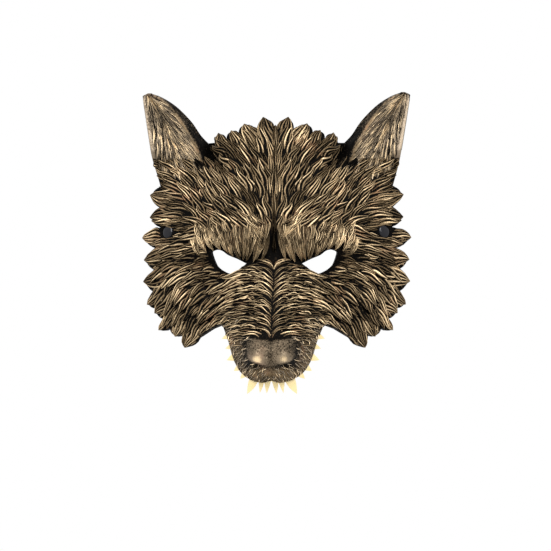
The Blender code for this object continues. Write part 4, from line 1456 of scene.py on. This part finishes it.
@dataclass
class FurGround:
    """What all kinds of fur share: the form, the random draws, the fur's way and the tests of a place.

    Lengths are in metres and other sizes of a place are shares of the form, unless a line says otherwise.
    """

    form: MaskForm
    outline: Outline
    seed: int = 7
    dark_spots: tuple = (
        (0.000, 0.060, 0.10, 0.75), (0.470, 0.640, 0.10, 0.70), (0.560, 0.560, 0.07, 0.60),
        (0.500, -0.060, 0.10, 0.35), (0.300, -0.200, 0.09, 0.35), (0.110, 0.330, 0.06, 0.50),
        (0.370, 0.250, 0.05, 0.50), (0.290, 0.600, 0.07, 0.40), (0.160, 0.560, 0.06, 0.40),
        (0.640, 0.330, 0.06, 0.35), (0.780, 0.030, 0.07, 0.35), (0.620, -0.340, 0.08, 0.40),
        (0.720, -0.520, 0.06, 0.35), (0.420, -0.330, 0.06, 0.35),
    )
    dark_spread: tuple = (0.70, 1.25)
    hole_margin: float = 0.0015
    tested_step: int = 3
    muzzle_top: float = -0.04
    off_muzzle: float = 9.0
    ear_foot: float = 0.60
    ear_inner_share: float = 0.999
    ear_least_turn: float = 0.9
    brow_top: float = 0.19
    brow_side: float = 0.57
    brow_corner: tuple = (0.45, 0.065)
    leather_share: float = 0.55

    def __post_init__(self) -> None:
        """Start the random draws and the fur's way."""
        self.draw = random.Random(self.seed)
        self.flow = FurFlow(self.form)
        self.eye_loop = self.outline.eye(1)
        self.whole_loop = self.outline.whole()
        self.hole = np.array([self.form.strap_hole_spacing / 2, self.form.strap_hole_height])

    def pick(self, ends: tuple[float, float]) -> float:
        """A random number between two."""
        return self.draw.uniform(*ends)

    def lock(self, path: np.ndarray, half_width: float, **sizes: float) -> Lock:
        """A lock with its own random strands.

        Args:
            path: its path, from root to tip.
            half_width: half its greatest width.
            sizes: its other sizes.

        Returns:
            The lock.
        """
        return Lock(path=path, half_width=half_width, seed=self.draw.randrange(1 << 30), **sizes)

    def tone(self, place: np.ndarray) -> float:
        """How brightly the fur is rubbed at a place.

        Args:
            place: its x and z.

        Returns:
            The tone, about 1 where no dark spot is near.
        """
        value = 1.0
        for across, up, size, depth in self.dark_spots:
            gap = np.linalg.norm(place - np.array(self.form.spot(across, up))) / (size * self.form.half_width)
            value -= depth * math.exp(-float(gap) ** 2)
        return value * self.pick(self.dark_spread)

    def inside(self, place: np.ndarray) -> bool:
        """True inside the mask's outline."""
        return bool(inside_loop(place[None, :], self.whole_loop)[0])

    def clear(self, place: np.ndarray, margin: float, hole_margin: float) -> bool:
        """True off the eye hole and the strap hole.

        Args:
            place: its x and z.
            margin: how far it keeps from the eye hole.
            hole_margin: how far it keeps from the strap hole.

        Returns:
            Whether it keeps from both.
        """
        row = place[None, :]
        if inside_loop(row, self.eye_loop)[0] or distance_to_loop(row, self.eye_loop)[0] < margin:
            return False
        return float(np.linalg.norm(place - self.hole)) > self.form.recess_radius + hole_margin

    def fits(self, path: np.ndarray, margin: float, hole_margin: float | None = None) -> bool:
        """True where a whole path is on the mask and clear of the holes.

        Args:
            path: its points.
            margin: how far they keep from the eye hole.
            hole_margin: how far they keep from the strap hole, or None for the usual distance.

        Returns:
            Whether all points that are tested fit.
        """
        points = np.concatenate([path[::self.tested_step], path[-1:]])
        if not np.all(inside_loop(points, self.whole_loop)):
            return False
        gap = self.hole_margin if hole_margin is None else hole_margin
        return all(self.clear(point, margin, gap) for point in points)

    def muzzle_share(self, place: np.ndarray) -> float:
        """How far a place lies from the middle of the muzzle.

        Args:
            place: its x and z.

        Returns:
            0 in the middle and 1 at the muzzle's side.
        """
        down = -place[1] / self.form.eye_to_lip
        if down < self.muzzle_top:
            return self.off_muzzle
        return abs(place[0]) / self.form.half_width / float(self.form.muzzle.half_width(np.array(down)))

    def on_ear(self, place: np.ndarray) -> bool:
        """True on the bare bowl of the ear.

        Args:
            place: its x and z.

        Returns:
            Whether it lies there.
        """
        across = np.array(place[0] / self.form.half_width)
        up = np.array(place[1] / self.form.eye_to_ear_tip)
        inner_side = float(self.form.ear.share(across, up)) < self.ear_inner_share
        turned = float(self.form.ear.turn(across, up)) > self.ear_least_turn
        return bool(up > self.ear_foot and inner_side and turned)

    def on_nose(self, place: np.ndarray) -> bool:
        """True on the bare leather of the nose.

        Args:
            place: its x and z.

        Returns:
            Whether it lies there.
        """
        form = self.form
        nose = form.nose
        rise = nose.rise(np.array(abs(place[0]) / form.half_width), np.array(-place[1] / form.eye_to_lip))
        low = place[1] < -nose.top_down * form.eye_to_lip
        return bool(low and float(rise) > self.leather_share * nose.height)

    def on_fur(self, place: np.ndarray) -> bool:
        """True on the forehead and the cheek, off the brows, the muzzle and the ear's bowl.

        Args:
            place: its x and z.

        Returns:
            Whether it lies there.
        """
        across = place[0] / self.form.half_width
        up = place[1] / self.form.eye_to_ear_tip
        if not self.inside(place):
            return False
        corner = up < self.brow_corner[1] and across > self.brow_corner[0]
        brow = 0.0 < up < self.brow_top and across < self.brow_side and not corner
        return not (brow or self.muzzle_share(place) < 1.0 or self.on_ear(place))


@dataclass(frozen=True)
class EdgeTufts:
    """The outermost locks, whose tips make the mask's edge."""

    ground: FurGround
    flow_weight: float = 1.2
    least_length: float = 0.018
    length_share: float = 1.5
    hole_overlap: float = 0.0006
    hole_width_share: float = 0.3
    bends: tuple = (-0.05, 0.05)
    short_length: float = 0.017
    width_share: float = 0.60
    short_width_share: float = 0.44
    tip_height: float = 0.0024
    strands: int = 5
    dimming: float = 0.9

    def tuft(self, valley: np.ndarray, tip: np.ndarray, after: np.ndarray) -> Lock:
        """One tuft, kept short where it points at the strap hole.

        Args:
            valley: the valley before it.
            tip: its tip.
            after: the valley after it.

        Returns:
            The tuft.
        """
        ground = self.ground
        radius = ground.form.recess_radius
        middle = (valley + after) / 2
        way = (tip - middle) / np.linalg.norm(tip - middle)
        flow = ground.flow.angle(middle)
        way = way + self.flow_weight * np.array([math.cos(flow), math.sin(flow)])
        way = way / np.linalg.norm(way)
        width = float(np.linalg.norm(valley - after))
        length = max(self.least_length, width * self.length_share)
        free = float(np.linalg.norm(tip - ground.hole)) - radius + self.hole_overlap
        if abs(np.cross(way, tip - ground.hole)) < radius + width * self.hole_width_share and free < length:
            length = free
        path = bent_path(tip - way * length, tip, ground.pick(self.bends))
        half_width = width * (self.width_share if length > self.short_length else self.short_width_share)
        return ground.lock(path, half_width, strands=self.strands, tip_height=self.tip_height,
                           tone=self.dimming * ground.tone(tip))

    def locks(self) -> list[Lock]:
        """All tufts of the right half.

        Returns:
            The tufts, round from the crown to the cheek.
        """
        form = self.ground.form
        outline = self.ground.outline
        made = []
        crown = (outline.crown_middle, outline.crown_tufts)
        side = (form.ear.outer_edge[-1], outline.side_tufts)
        for start, tufts in (crown, side):
            valley = np.array(form.spot(*start))
            for tuft in tufts:
                after = np.array(form.spot(*tuft[2:]))
                made.append(self.tuft(valley, np.array(form.spot(*tuft[:2])), after))
                valley = after
        return made


@dataclass(frozen=True)
class LongLocks:
    """Locks scattered evenly over the forehead and the cheek, longer along the fur than across it."""

    ground: FurGround
    tries: int = 9000
    left_end: float = -0.003
    heights: tuple = (-0.075, 0.112)
    along_spacing: float = 0.0088
    across_spacing: float = 0.0045
    lengths: tuple = (0.017, 0.026)
    offsets: tuple = (-0.12, 0.12)
    curls: tuple = (-0.5, 0.5)
    waves: tuple = (0.10, 0.34)
    short_share: float = 0.6
    short_curls: tuple = (-0.3, 0.3)
    short_wave: float = 0.15
    eye_margin: float = 0.0016
    middle_gap: float = 0.0016
    half_widths: tuple = (0.0030, 0.0043)
    strands: tuple = (2, 3, 3)
    tip_heights: tuple = (0.0016, 0.0034)

    def crowded(self, place: np.ndarray, taken: np.ndarray) -> bool:
        """True where another lock is too near.

        Args:
            place: x and z of a new lock.
            taken: those of the locks so far.

        Returns:
            Whether one of them is too near.
        """
        if not len(taken):
            return False
        angle = self.ground.flow.angle(place)
        gap = taken - place
        along = gap @ np.array([math.cos(angle), math.sin(angle)]) / self.along_spacing
        across = gap @ np.array([-math.sin(angle), math.cos(angle)]) / self.across_spacing
        return bool(np.min(along ** 2 + across ** 2) < 1.0)

    def path(self, place: np.ndarray) -> np.ndarray | None:
        """A lock's path.

        Args:
            place: x and z of its middle.

        Returns:
            The path, or None where none fits.
        """
        ground = self.ground
        length = ground.pick(self.lengths)
        turns = [ground.pick(ends) for ends in (self.offsets, self.curls, self.waves)]
        path = ground.flow.stream(place, length, *turns)
        path = path - (path[len(path) // 2] - place)
        if not ground.fits(path, self.eye_margin):
            curl = ground.pick(self.short_curls)
            path = ground.flow.stream(place, length * self.short_share, 0.0, curl, self.short_wave)
        fits = ground.fits(path, self.eye_margin) and not ground.on_ear(path[-1])
        return path if fits and path[:, 0].min() >= self.middle_gap else None

    def locks(self) -> list[Lock]:
        """All long locks of the right half.

        Returns:
            The locks.
        """
        ground = self.ground
        taken = np.zeros((0, 2))
        made = []
        for _ in range(self.tries):
            x = ground.pick((self.left_end, ground.form.half_width))
            place = np.array([x, ground.pick(self.heights)])
            if self.crowded(place, taken) or not ground.on_fur(place):
                continue
            path = self.path(place)
            if path is None:
                continue
            taken = np.concatenate([taken, place[None, :]])
            made.append(ground.lock(
                path, ground.pick(self.half_widths), strands=ground.draw.choice(self.strands),
                tip_height=ground.pick(self.tip_heights), tone=ground.tone(place),
            ))
        return made


@dataclass(frozen=True)
class ShortLocks:
    """Short narrow locks in the bare patches: round the rivets, by the eyes and between the long locks."""

    ground: FurGround
    tries: int = 6000
    heights: tuple = (-0.085, 0.110)
    spacing: float = 0.0023
    lengths: tuple = (0.007, 0.012)
    offsets: tuple = (-0.15, 0.15)
    curls: tuple = (-0.4, 0.4)
    waves: tuple = (0.0, 0.25)
    steps: int = 9
    half_widths: tuple = (0.0018, 0.0028)
    held_at: tuple = (3, 0, -1)
    eye_margin: float = 0.0008
    hole_width_share: float = 0.4
    hole_overlap: float = 0.0004
    middle_gap: float = 0.0012
    strands: int = 2
    tip_height: float = 0.0016
    dimming: float = 0.85

    def locks(self, long_locks: list[Lock]) -> list[Lock]:
        """The short locks of the right half.

        Args:
            long_locks: the locks that lie there already.

        Returns:
            The short locks.
        """
        ground = self.ground
        taken = np.concatenate([lock.path for lock in long_locks])
        made = []
        for _ in range(self.tries):
            place = np.array([ground.pick((0.0, ground.form.half_width)), ground.pick(self.heights)])
            if np.min(np.linalg.norm(taken - place, axis=1)) < self.spacing or not ground.on_fur(place):
                continue
            turns = [ground.pick(ends) for ends in (self.lengths, self.offsets, self.curls, self.waves)]
            path = ground.flow.stream(place, *turns, self.steps)
            half_width = ground.pick(self.half_widths)
            hole_margin = self.hole_width_share * half_width - self.hole_overlap
            ways = [path - (path[at] - place) for at in self.held_at]
            ways = [way for way in ways if ground.fits(way, self.eye_margin, hole_margin)]
            if not ways or ways[0][:, 0].min() < self.middle_gap or ground.on_ear(ways[0][-1]):
                continue
            taken = np.concatenate([taken, ways[0]])
            made.append(ground.lock(ways[0], half_width, strands=self.strands, tip_height=self.tip_height,
                                    tone=self.dimming * ground.tone(place)))
        return made


@dataclass(frozen=True)
class MiddleLocks:
    """The row of locks up the middle of the forehead, which are their own mirror image.

    A row holds its height at the root, its height at the tip and half its width.
    """

    ground: FurGround
    rows: tuple = (
        (0.02, 0.15, 0.0020), (0.11, 0.28, 0.0026), (0.24, 0.39, 0.0028),
        (0.34, 0.53, 0.0046), (0.49, 0.68, 0.0034), (0.62, 0.80, 0.0036),
    )
    strands: int = 4
    tip_height: float = 0.0030

    def locks(self) -> list[Lock]:
        """All locks of the row.

        Returns:
            The locks, from the eyes up.
        """
        ground = self.ground
        made = []
        for low, high, half_width in self.rows:
            root = ground.form.spot(0.0, low)
            path = bent_path(root, ground.form.spot(0.0, high), 0.0)
            made.append(ground.lock(path, half_width, strands=self.strands, tip_height=self.tip_height,
                                    tone=ground.tone(np.array(root))))
        return made


@dataclass(frozen=True)
class BrowLocks:
    """The bright bulges over the eyes, with fine strands that run down to the eye's edge.

    A row holds its root across and up, its tip across and up, and half its width.
    """

    ground: FurGround
    rows: tuple = (
        (0.060, 0.215, 0.085, -0.010, 0.0030), (0.125, 0.245, 0.145, -0.020, 0.0040),
        (0.190, 0.225, 0.195, -0.002, 0.0046), (0.222, 0.215, 0.222, 0.006, 0.0040),
        (0.250, 0.190, 0.245, 0.014, 0.0044),
        (0.310, 0.175, 0.296, 0.032, 0.0038), (0.372, 0.210, 0.332, 0.054, 0.0042),
        (0.432, 0.235, 0.385, 0.066, 0.0042), (0.494, 0.238, 0.440, 0.066, 0.0042),
        (0.550, 0.215, 0.492, 0.058, 0.0040), (0.592, 0.170, 0.545, 0.040, 0.0036),
        (0.215, 0.295, 0.045, 0.120, 0.0040), (0.165, 0.235, 0.070, 0.060, 0.0032),
    )
    bend_inwards: float = 0.10
    bend_outwards: float = -0.06
    bulge: dict = field(default_factory=lambda: {
        "strands": 6, "tip_height": 0.0022, "groove": 0.0008, "crown": 0.0012,
    })
    bulge_tone: float = 1.15
    bulge_tones: tuple = (0.85, 1.15)
    hair_count: int = 5
    hair_sides: tuple = (-1.0, 1.0)
    hair_rises: tuple = (-0.002, 0.008)
    hair_narrowing: tuple = (0.8, 1.0)
    hair_shares: tuple = (0.6, 0.9)
    hair_bend: float = 1.5
    hair_half_widths: tuple = (0.0010, 0.0022)
    hair: dict = field(default_factory=lambda: {"strands": 2, "tip_height": 0.0026, "groove": 0.0009})
    hair_tone: float = 1.25
    hair_tones: tuple = (0.5, 1.25)
    eye_margin: float = 0.0008

    def locks(self) -> list[Lock]:
        """All brow locks of the right half.

        Returns:
            The bulges, each with its strands after it.
        """
        ground = self.ground
        made = []
        for root_across, root_up, tip_across, tip_up, half_width in self.rows:
            root = np.array(ground.form.spot(root_across, root_up))
            tip = np.array(ground.form.spot(tip_across, tip_up))
            bend = self.bend_inwards if root_across > tip_across else self.bend_outwards
            made.append(ground.lock(bent_path(root, tip, bend), half_width, **self.bulge,
                                    tone=self.bulge_tone * ground.pick(self.bulge_tones)))
            for _ in range(self.hair_count):
                shift = np.array([ground.pick(self.hair_sides) * half_width, ground.pick(self.hair_rises)])
                near = root + shift
                far = tip + shift * np.array(self.hair_narrowing)
                end = near + (far - near) * ground.pick(self.hair_shares)
                path = bent_path(near, end, bend * self.hair_bend)
                if ground.fits(path, self.eye_margin):
                    made.append(ground.lock(path, ground.pick(self.hair_half_widths), **self.hair,
                                            tone=self.hair_tone * ground.pick(self.hair_tones)))
        return made


@dataclass(frozen=True)
class MuzzleHairs:
    """Arched hairs that rise from the crease and lie over to the side, in bands.

    A band holds its distance from the middle, its angles at root and tip in degrees, the length of its
    hairs and how far their roots spread.
    """

    ground: FurGround
    bands: tuple = (
        (-0.0004, 64.0, -14.0, 0.0170, 0.0008), (0.006, 38.0, -18.0, 0.0130, 0.003),
        (0.012, 22.0, -28.0, 0.0130, 0.004), (0.019, 12.0, -32.0, 0.0120, 0.004),
        (0.026, 4.0, -40.0, 0.0110, 0.004), (0.033, -2.0, -45.0, 0.0100, 0.004),
    )
    top: float = -0.002
    foot: float = -0.0690
    steps_down: tuple = (0.0016, 0.0025)
    slant: float = 0.05
    widest_share: float = 1.02
    length_shares: tuple = (0.8, 1.15)
    start_turns: tuple = (-8, 8)
    end_turns: tuple = (-14, 14)
    waves: tuple = (-0.35, 0.35)
    eye_margin: float = 0.0018
    half_widths: tuple = (0.0007, 0.0011)
    root_height: float = -0.0002
    tip_heights: tuple = (0.0008, 0.0016)
    crown: float = 0.0004
    groove: float = 0.0007
    root_share: float = 0.8
    tones: tuple = (0.60, 1.45)

    def locks(self) -> list[Lock]:
        """All hairs of the right half.

        Returns:
            The hairs.
        """
        ground = self.ground
        made = []
        for out, start, end, length, spread in self.bands:
            height = self.top
            while height > self.foot:
                height -= ground.pick(self.steps_down)
                root = np.array([out + ground.pick((0.0, spread)), height - out * self.slant])
                if ground.muzzle_share(root) > self.widest_share or not ground.inside(root):
                    continue
                span = length * ground.pick(self.length_shares)
                first = math.radians(start + ground.pick(self.start_turns))
                last = math.radians(end + ground.pick(self.end_turns))
                path = turning_path(root, first, last, span, wave=ground.pick(self.waves))
                if not ground.fits(path, self.eye_margin) or ground.on_nose(path[-1]) or ground.on_nose(root):
                    continue
                made.append(ground.lock(
                    path, ground.pick(self.half_widths), strands=1, root_height=self.root_height,
                    tip_height=ground.pick(self.tip_heights), crown=self.crown, groove=self.groove,
                    root_share=self.root_share, tone=ground.pick(self.tones),
                ))
        return made


@dataclass(frozen=True)
class LipHairs:
    """Short rough hairs on the sides of the muzzle and round the nose."""

    ground: FurGround
    tries: int = 7000
    widths: tuple = (0.0, 0.040)
    top: float = -0.045
    side_top: float = -0.060
    side_start: float = 0.024
    edge_start: float = 0.014
    edge_slope: float = 0.45
    spacing: float = 0.00165
    edge_gap: float = 0.0012
    top_angle: float = -35.0
    angle_fall: float = 900.0
    turns: tuple = (-0.7, 0.7)
    curls: tuple = (-0.9, 0.9)
    lengths: tuple = (0.0030, 0.0055)
    steps: int = 5
    half_widths: tuple = (0.0005, 0.0008)
    hair: dict = field(default_factory=lambda: {
        "strands": 1, "root_height": -0.0003, "tip_height": 0.0007, "crown": 0.0003, "groove": 0.0006,
        "root_share": 0.7, "age": 0.8,
    })
    tones: tuple = (0.55, 1.35)

    def bare(self, place: np.ndarray, taken: np.ndarray) -> bool:
        """True where a hair has room.

        Args:
            place: x and z of its root.
            taken: those of the hairs so far.

        Returns:
            Whether it has room beside the nose, off the edge and off the other hairs.
        """
        out = abs(place[0])
        if out <= self.edge_start + self.edge_slope * (place[1] - self.side_top):
            return False
        if place[1] > self.side_top and out < self.side_start:
            return False
        if len(taken) and np.min(np.linalg.norm(taken - place, axis=1)) < self.spacing:
            return False
        edge = distance_to_loop(place[None, :], self.ground.whole_loop)[0]
        return self.ground.inside(place) and edge >= self.edge_gap and not self.ground.on_nose(place)

    def locks(self) -> list[Lock]:
        """All hairs of the right half.

        Returns:
            The hairs.
        """
        ground = self.ground
        taken = np.zeros((0, 2))
        made = []
        for _ in range(self.tries):
            place = np.array([ground.pick(self.widths), ground.pick((-ground.form.eye_to_lip, self.top))])
            if not self.bare(place, taken):
                continue
            fall = self.angle_fall * max(self.side_top - place[1], 0.0)
            angle = math.radians(self.top_angle - fall) + ground.pick(self.turns)
            end = angle + ground.pick(self.curls)
            path = turning_path(place, angle, end, ground.pick(self.lengths), self.steps)
            if ground.on_nose(path[-1]) or not ground.inside(path[-1]):
                continue
            taken = np.concatenate([taken, place[None, :]])
            made.append(ground.lock(path, ground.pick(self.half_widths), **self.hair,
                                    tone=ground.pick(self.tones)))
        return made


@dataclass(frozen=True)
class EarStroke:
    """One kind of stroke on the ear."""

    half_width: float
    tip_height: float
    groove: float
    lengths: tuple
    start_turn: float


@dataclass(frozen=True)
class EarHairs:
    """Long fine strokes up the ear's bowl and coarser ones along its outer edge."""

    ground: FurGround
    fine: EarStroke = EarStroke(0.0005, 0.0005, 0.0004, (0.008, 0.024), 0.12)
    coarse: EarStroke = EarStroke(0.0011, 0.0011, 0.0008, (0.010, 0.020), 0.35)
    count: int = 420
    shares: tuple = (0.03, 0.80)
    ups: tuple = (0.47, 0.93)
    coarse_share: float = 0.45
    coarse_up: float = 0.72
    turns: tuple = (-0.06, 0.06)
    end_turn: float = 0.10
    most_of_way: float = 0.9
    hair: dict = field(default_factory=lambda: {
        "strands": 1, "root_height": -0.0002, "crown": 0.0003, "root_share": 0.7, "age": 0.6,
    })
    tones: tuple = (0.35, 1.45)

    def locks(self) -> list[Lock]:
        """All strokes of the right ear.

        Returns:
            The strokes.
        """
        ground = self.ground
        ear = ground.form.ear
        tip = np.array(ground.form.spot(*ear.tip))
        made = []
        for _ in range(self.count):
            share = ground.pick(self.shares)
            up = ground.pick(self.ups)
            outer, inner = ear.edges(np.array(up))
            root = np.array(ground.form.spot(float(outer - (outer - inner) * share), up))
            stroke = self.coarse if share < self.coarse_share and up < self.coarse_up else self.fine
            gap = float(np.linalg.norm(tip - root))
            way = (tip - root) / np.linalg.norm(tip - root)
            angle = math.atan2(way[1], way[0]) + ground.pick(self.turns)
            length = min(ground.pick(stroke.lengths), self.most_of_way * gap)
            path = turning_path(root, angle + stroke.start_turn, angle - self.end_turn, length)
            if ground.inside(path[-1]):
                made.append(ground.lock(path, stroke.half_width, tip_height=stroke.tip_height,
                                        groove=stroke.groove, **self.hair, tone=ground.pick(self.tones)))
        return made


@dataclass(frozen=True)
class FurCoat:
    """All the fur: every lock of the right half, and each again on the left with other random strands."""

    ground: FurGround
    crown_foot: float = 0.030

    def mirrored(self, locks: list[Lock]) -> list[Lock]:
        """The same locks on the left half, with other strands."""
        return [replace(lock, path=lock.path * FLIP, seed=lock.seed + 1) for lock in locks]

    def regions(self) -> dict[Region, list[Lock]]:
        """All locks, sorted into the pieces that they are made as.

        Returns:
            The locks of each piece.
        """
        ground = self.ground
        tufts = EdgeTufts(ground).locks()
        coat = LongLocks(ground).locks() + tufts
        coat += ShortLocks(ground).locks(coat)
        crown = [lock for lock in coat if lock.path[-1][1] > self.crown_foot]
        cheek = [lock for lock in coat if lock.path[-1][1] <= self.crown_foot]
        kinds = {
            Region.BROWS: BrowLocks, Region.MUZZLE: MuzzleHairs,
            Region.LIPS: LipHairs, Region.EARS: EarHairs,
        }
        halves = {Region.CROWN: crown}
        for region, kind in kinds.items():
            halves[region] = kind(ground).locks()
        made = {region: locks + self.mirrored(locks) for region, locks in halves.items()}
        made[Region.CROWN] += MiddleLocks(ground).locks()
        made[Region.CHEEK_RIGHT] = cheek
        made[Region.CHEEK_LEFT] = self.mirrored(cheek)
        return made


@dataclass(frozen=True)
class Lamp:
    """A soft square lamp that looks at the mask."""

    name: str
    place: tuple
    size: float
    power: float

    def make(self) -> None:
        """Add the lamp."""
        data = bpy.data.lights.new(self.name, "AREA")
        data.size = self.size
        data.energy = self.power
        lamp = bpy.data.objects.new(self.name, data)
        lamp.location = self.place
        lamp.rotation_euler = (-Vector(self.place)).to_track_quat("-Z", "Y").to_euler()
        bpy.context.scene.collection.objects.link(lamp)


@dataclass(frozen=True)
class Studio:
    """The pale floor, the soft lights and the camera at the photograph's angle. Angles in degrees."""

    picture_px: float = 551.0
    metres_per_px: float = 0.212 / 270.0
    middle_px: tuple = (274.2, 260.5)
    azimuth: float = 2.2
    elevation: float = -2.5
    lens: float = 135.0
    sensor: float = 36.0
    floor_half_size: float = 3.0
    floor_height: float = -1.3
    floor_colour: tuple = (0.9, 0.9, 0.9, 1.0)
    floor_rough: float = 0.8
    world_colour: tuple = (1.0, 1.0, 1.0, 1.0)
    world_strength: float = 1.0
    lamps: tuple = (
        Lamp("left_softbox", (-1.2, -1.1, 0.9), 0.6, 20.0),
        Lamp("right_softbox", (1.2, -1.1, 0.9), 0.6, 20.0),
        Lamp("top_softbox", (0.0, -0.5, 1.6), 0.8, 14.0),
    )

    def camera(self) -> None:
        """Make the camera."""
        data = bpy.data.cameras.new("camera")
        data.lens = self.lens
        data.sensor_width = self.sensor
        camera = bpy.data.objects.new("camera", data)
        bpy.context.scene.collection.objects.link(camera)
        distance = self.picture_px * self.metres_per_px * self.lens / self.sensor
        half = self.picture_px / 2
        right = (half - self.middle_px[0]) * self.metres_per_px
        rise = (self.middle_px[1] - half) * self.metres_per_px
        azimuth = math.radians(self.azimuth)
        elevation = math.radians(self.elevation)
        level = math.cos(elevation)
        away = Vector((math.sin(azimuth) * level, -math.cos(azimuth) * level, math.sin(elevation)))
        camera.location = Vector((right, 0.0, rise)) + away * distance
        camera.rotation_euler = (-away).to_track_quat("-Z", "Y").to_euler()
        bpy.context.scene.camera = camera

    def floor(self) -> None:
        """Make a wide pale floor below the mask."""
        mesh = bpy.data.meshes.new("floor")
        half = self.floor_half_size
        low = self.floor_height
        corners = [(-half, -half, low), (half, -half, low), (half, half, low), (-half, half, low)]
        mesh.from_pydata(corners, [], [(0, 1, 2, 3)])
        material = principled("pale_floor", Base_Color=self.floor_colour, Roughness=self.floor_rough)[0]
        mesh.materials.append(material)
        floor = bpy.data.objects.new("floor", mesh)
        bpy.context.scene.collection.objects.link(floor)

    def world(self) -> None:
        """Make the even light from all round."""
        world = bpy.data.worlds.new("studio")
        world.use_nodes = True
        background = world.node_tree.nodes["Background"]
        background.inputs["Color"].default_value = self.world_colour
        background.inputs["Strength"].default_value = self.world_strength
        bpy.context.scene.world = world
        bpy.context.scene.view_settings.view_transform = "Standard"

    def build(self) -> None:
        """Make the whole studio."""
        self.world()
        self.floor()
        for lamp in self.lamps:
            lamp.make()
        self.camera()


def dress_node(name: str, material: bpy.types.Material) -> None:
    """Give a carried-over CAD node its finish.

    Args:
        name: the node's name.
        material: its finish.
    """
    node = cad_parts[name]
    for slot in node.material_slots:
        slot.material = material
    LOG.info("%s dressed", name)


CREAM_TEETH = MouldedPlastic(
    name="cream_teeth", colour=(0.82, 0.68, 0.36, 1.0), shade=(0.70, 0.54, 0.25, 1.0),
    mottle_scale=220.0, rough=(0.38, 0.5),
)
BLACK_RIVET = MouldedPlastic(
    name="black_rivet", colour=(0.008, 0.008, 0.010, 1.0), shade=(0.014, 0.014, 0.016, 1.0),
    mottle_scale=500.0, rough=(0.08, 0.14), bump_strength=0.02, gloss=0.16,
)
CARRIED_OVER = (
    ("upper_teeth", Slot.TEETH), ("strap_rivet_left", Slot.RIVET),
    ("strap_rivet_right", Slot.RIVET), ("head_strap", Slot.ELASTIC),
)


def main() -> None:
    """Build the mask piece by piece."""
    logging.basicConfig(level=logging.INFO, format="%(message)s")
    form = MaskForm()
    outline = Outline(form)
    effects = EffectGroups()
    bronze = AntiqueBronze().make(effects)
    MaskSkin(form, outline).build(bronze)
    coat = FurCoat(FurGround(form, outline))
    for region, locks in coat.regions().items():
        LockBatch(form, locks).build(region.value, bronze)
    finishes = {
        Slot.TEETH: CREAM_TEETH.make(effects), Slot.RIVET: BLACK_RIVET.make(effects),
        Slot.ELASTIC: WovenElastic().make(),
    }
    for name, slot in CARRIED_OVER:
        dress_node(name, finishes[slot])
    Studio().build()


if __name__ == "__main__":
    main()
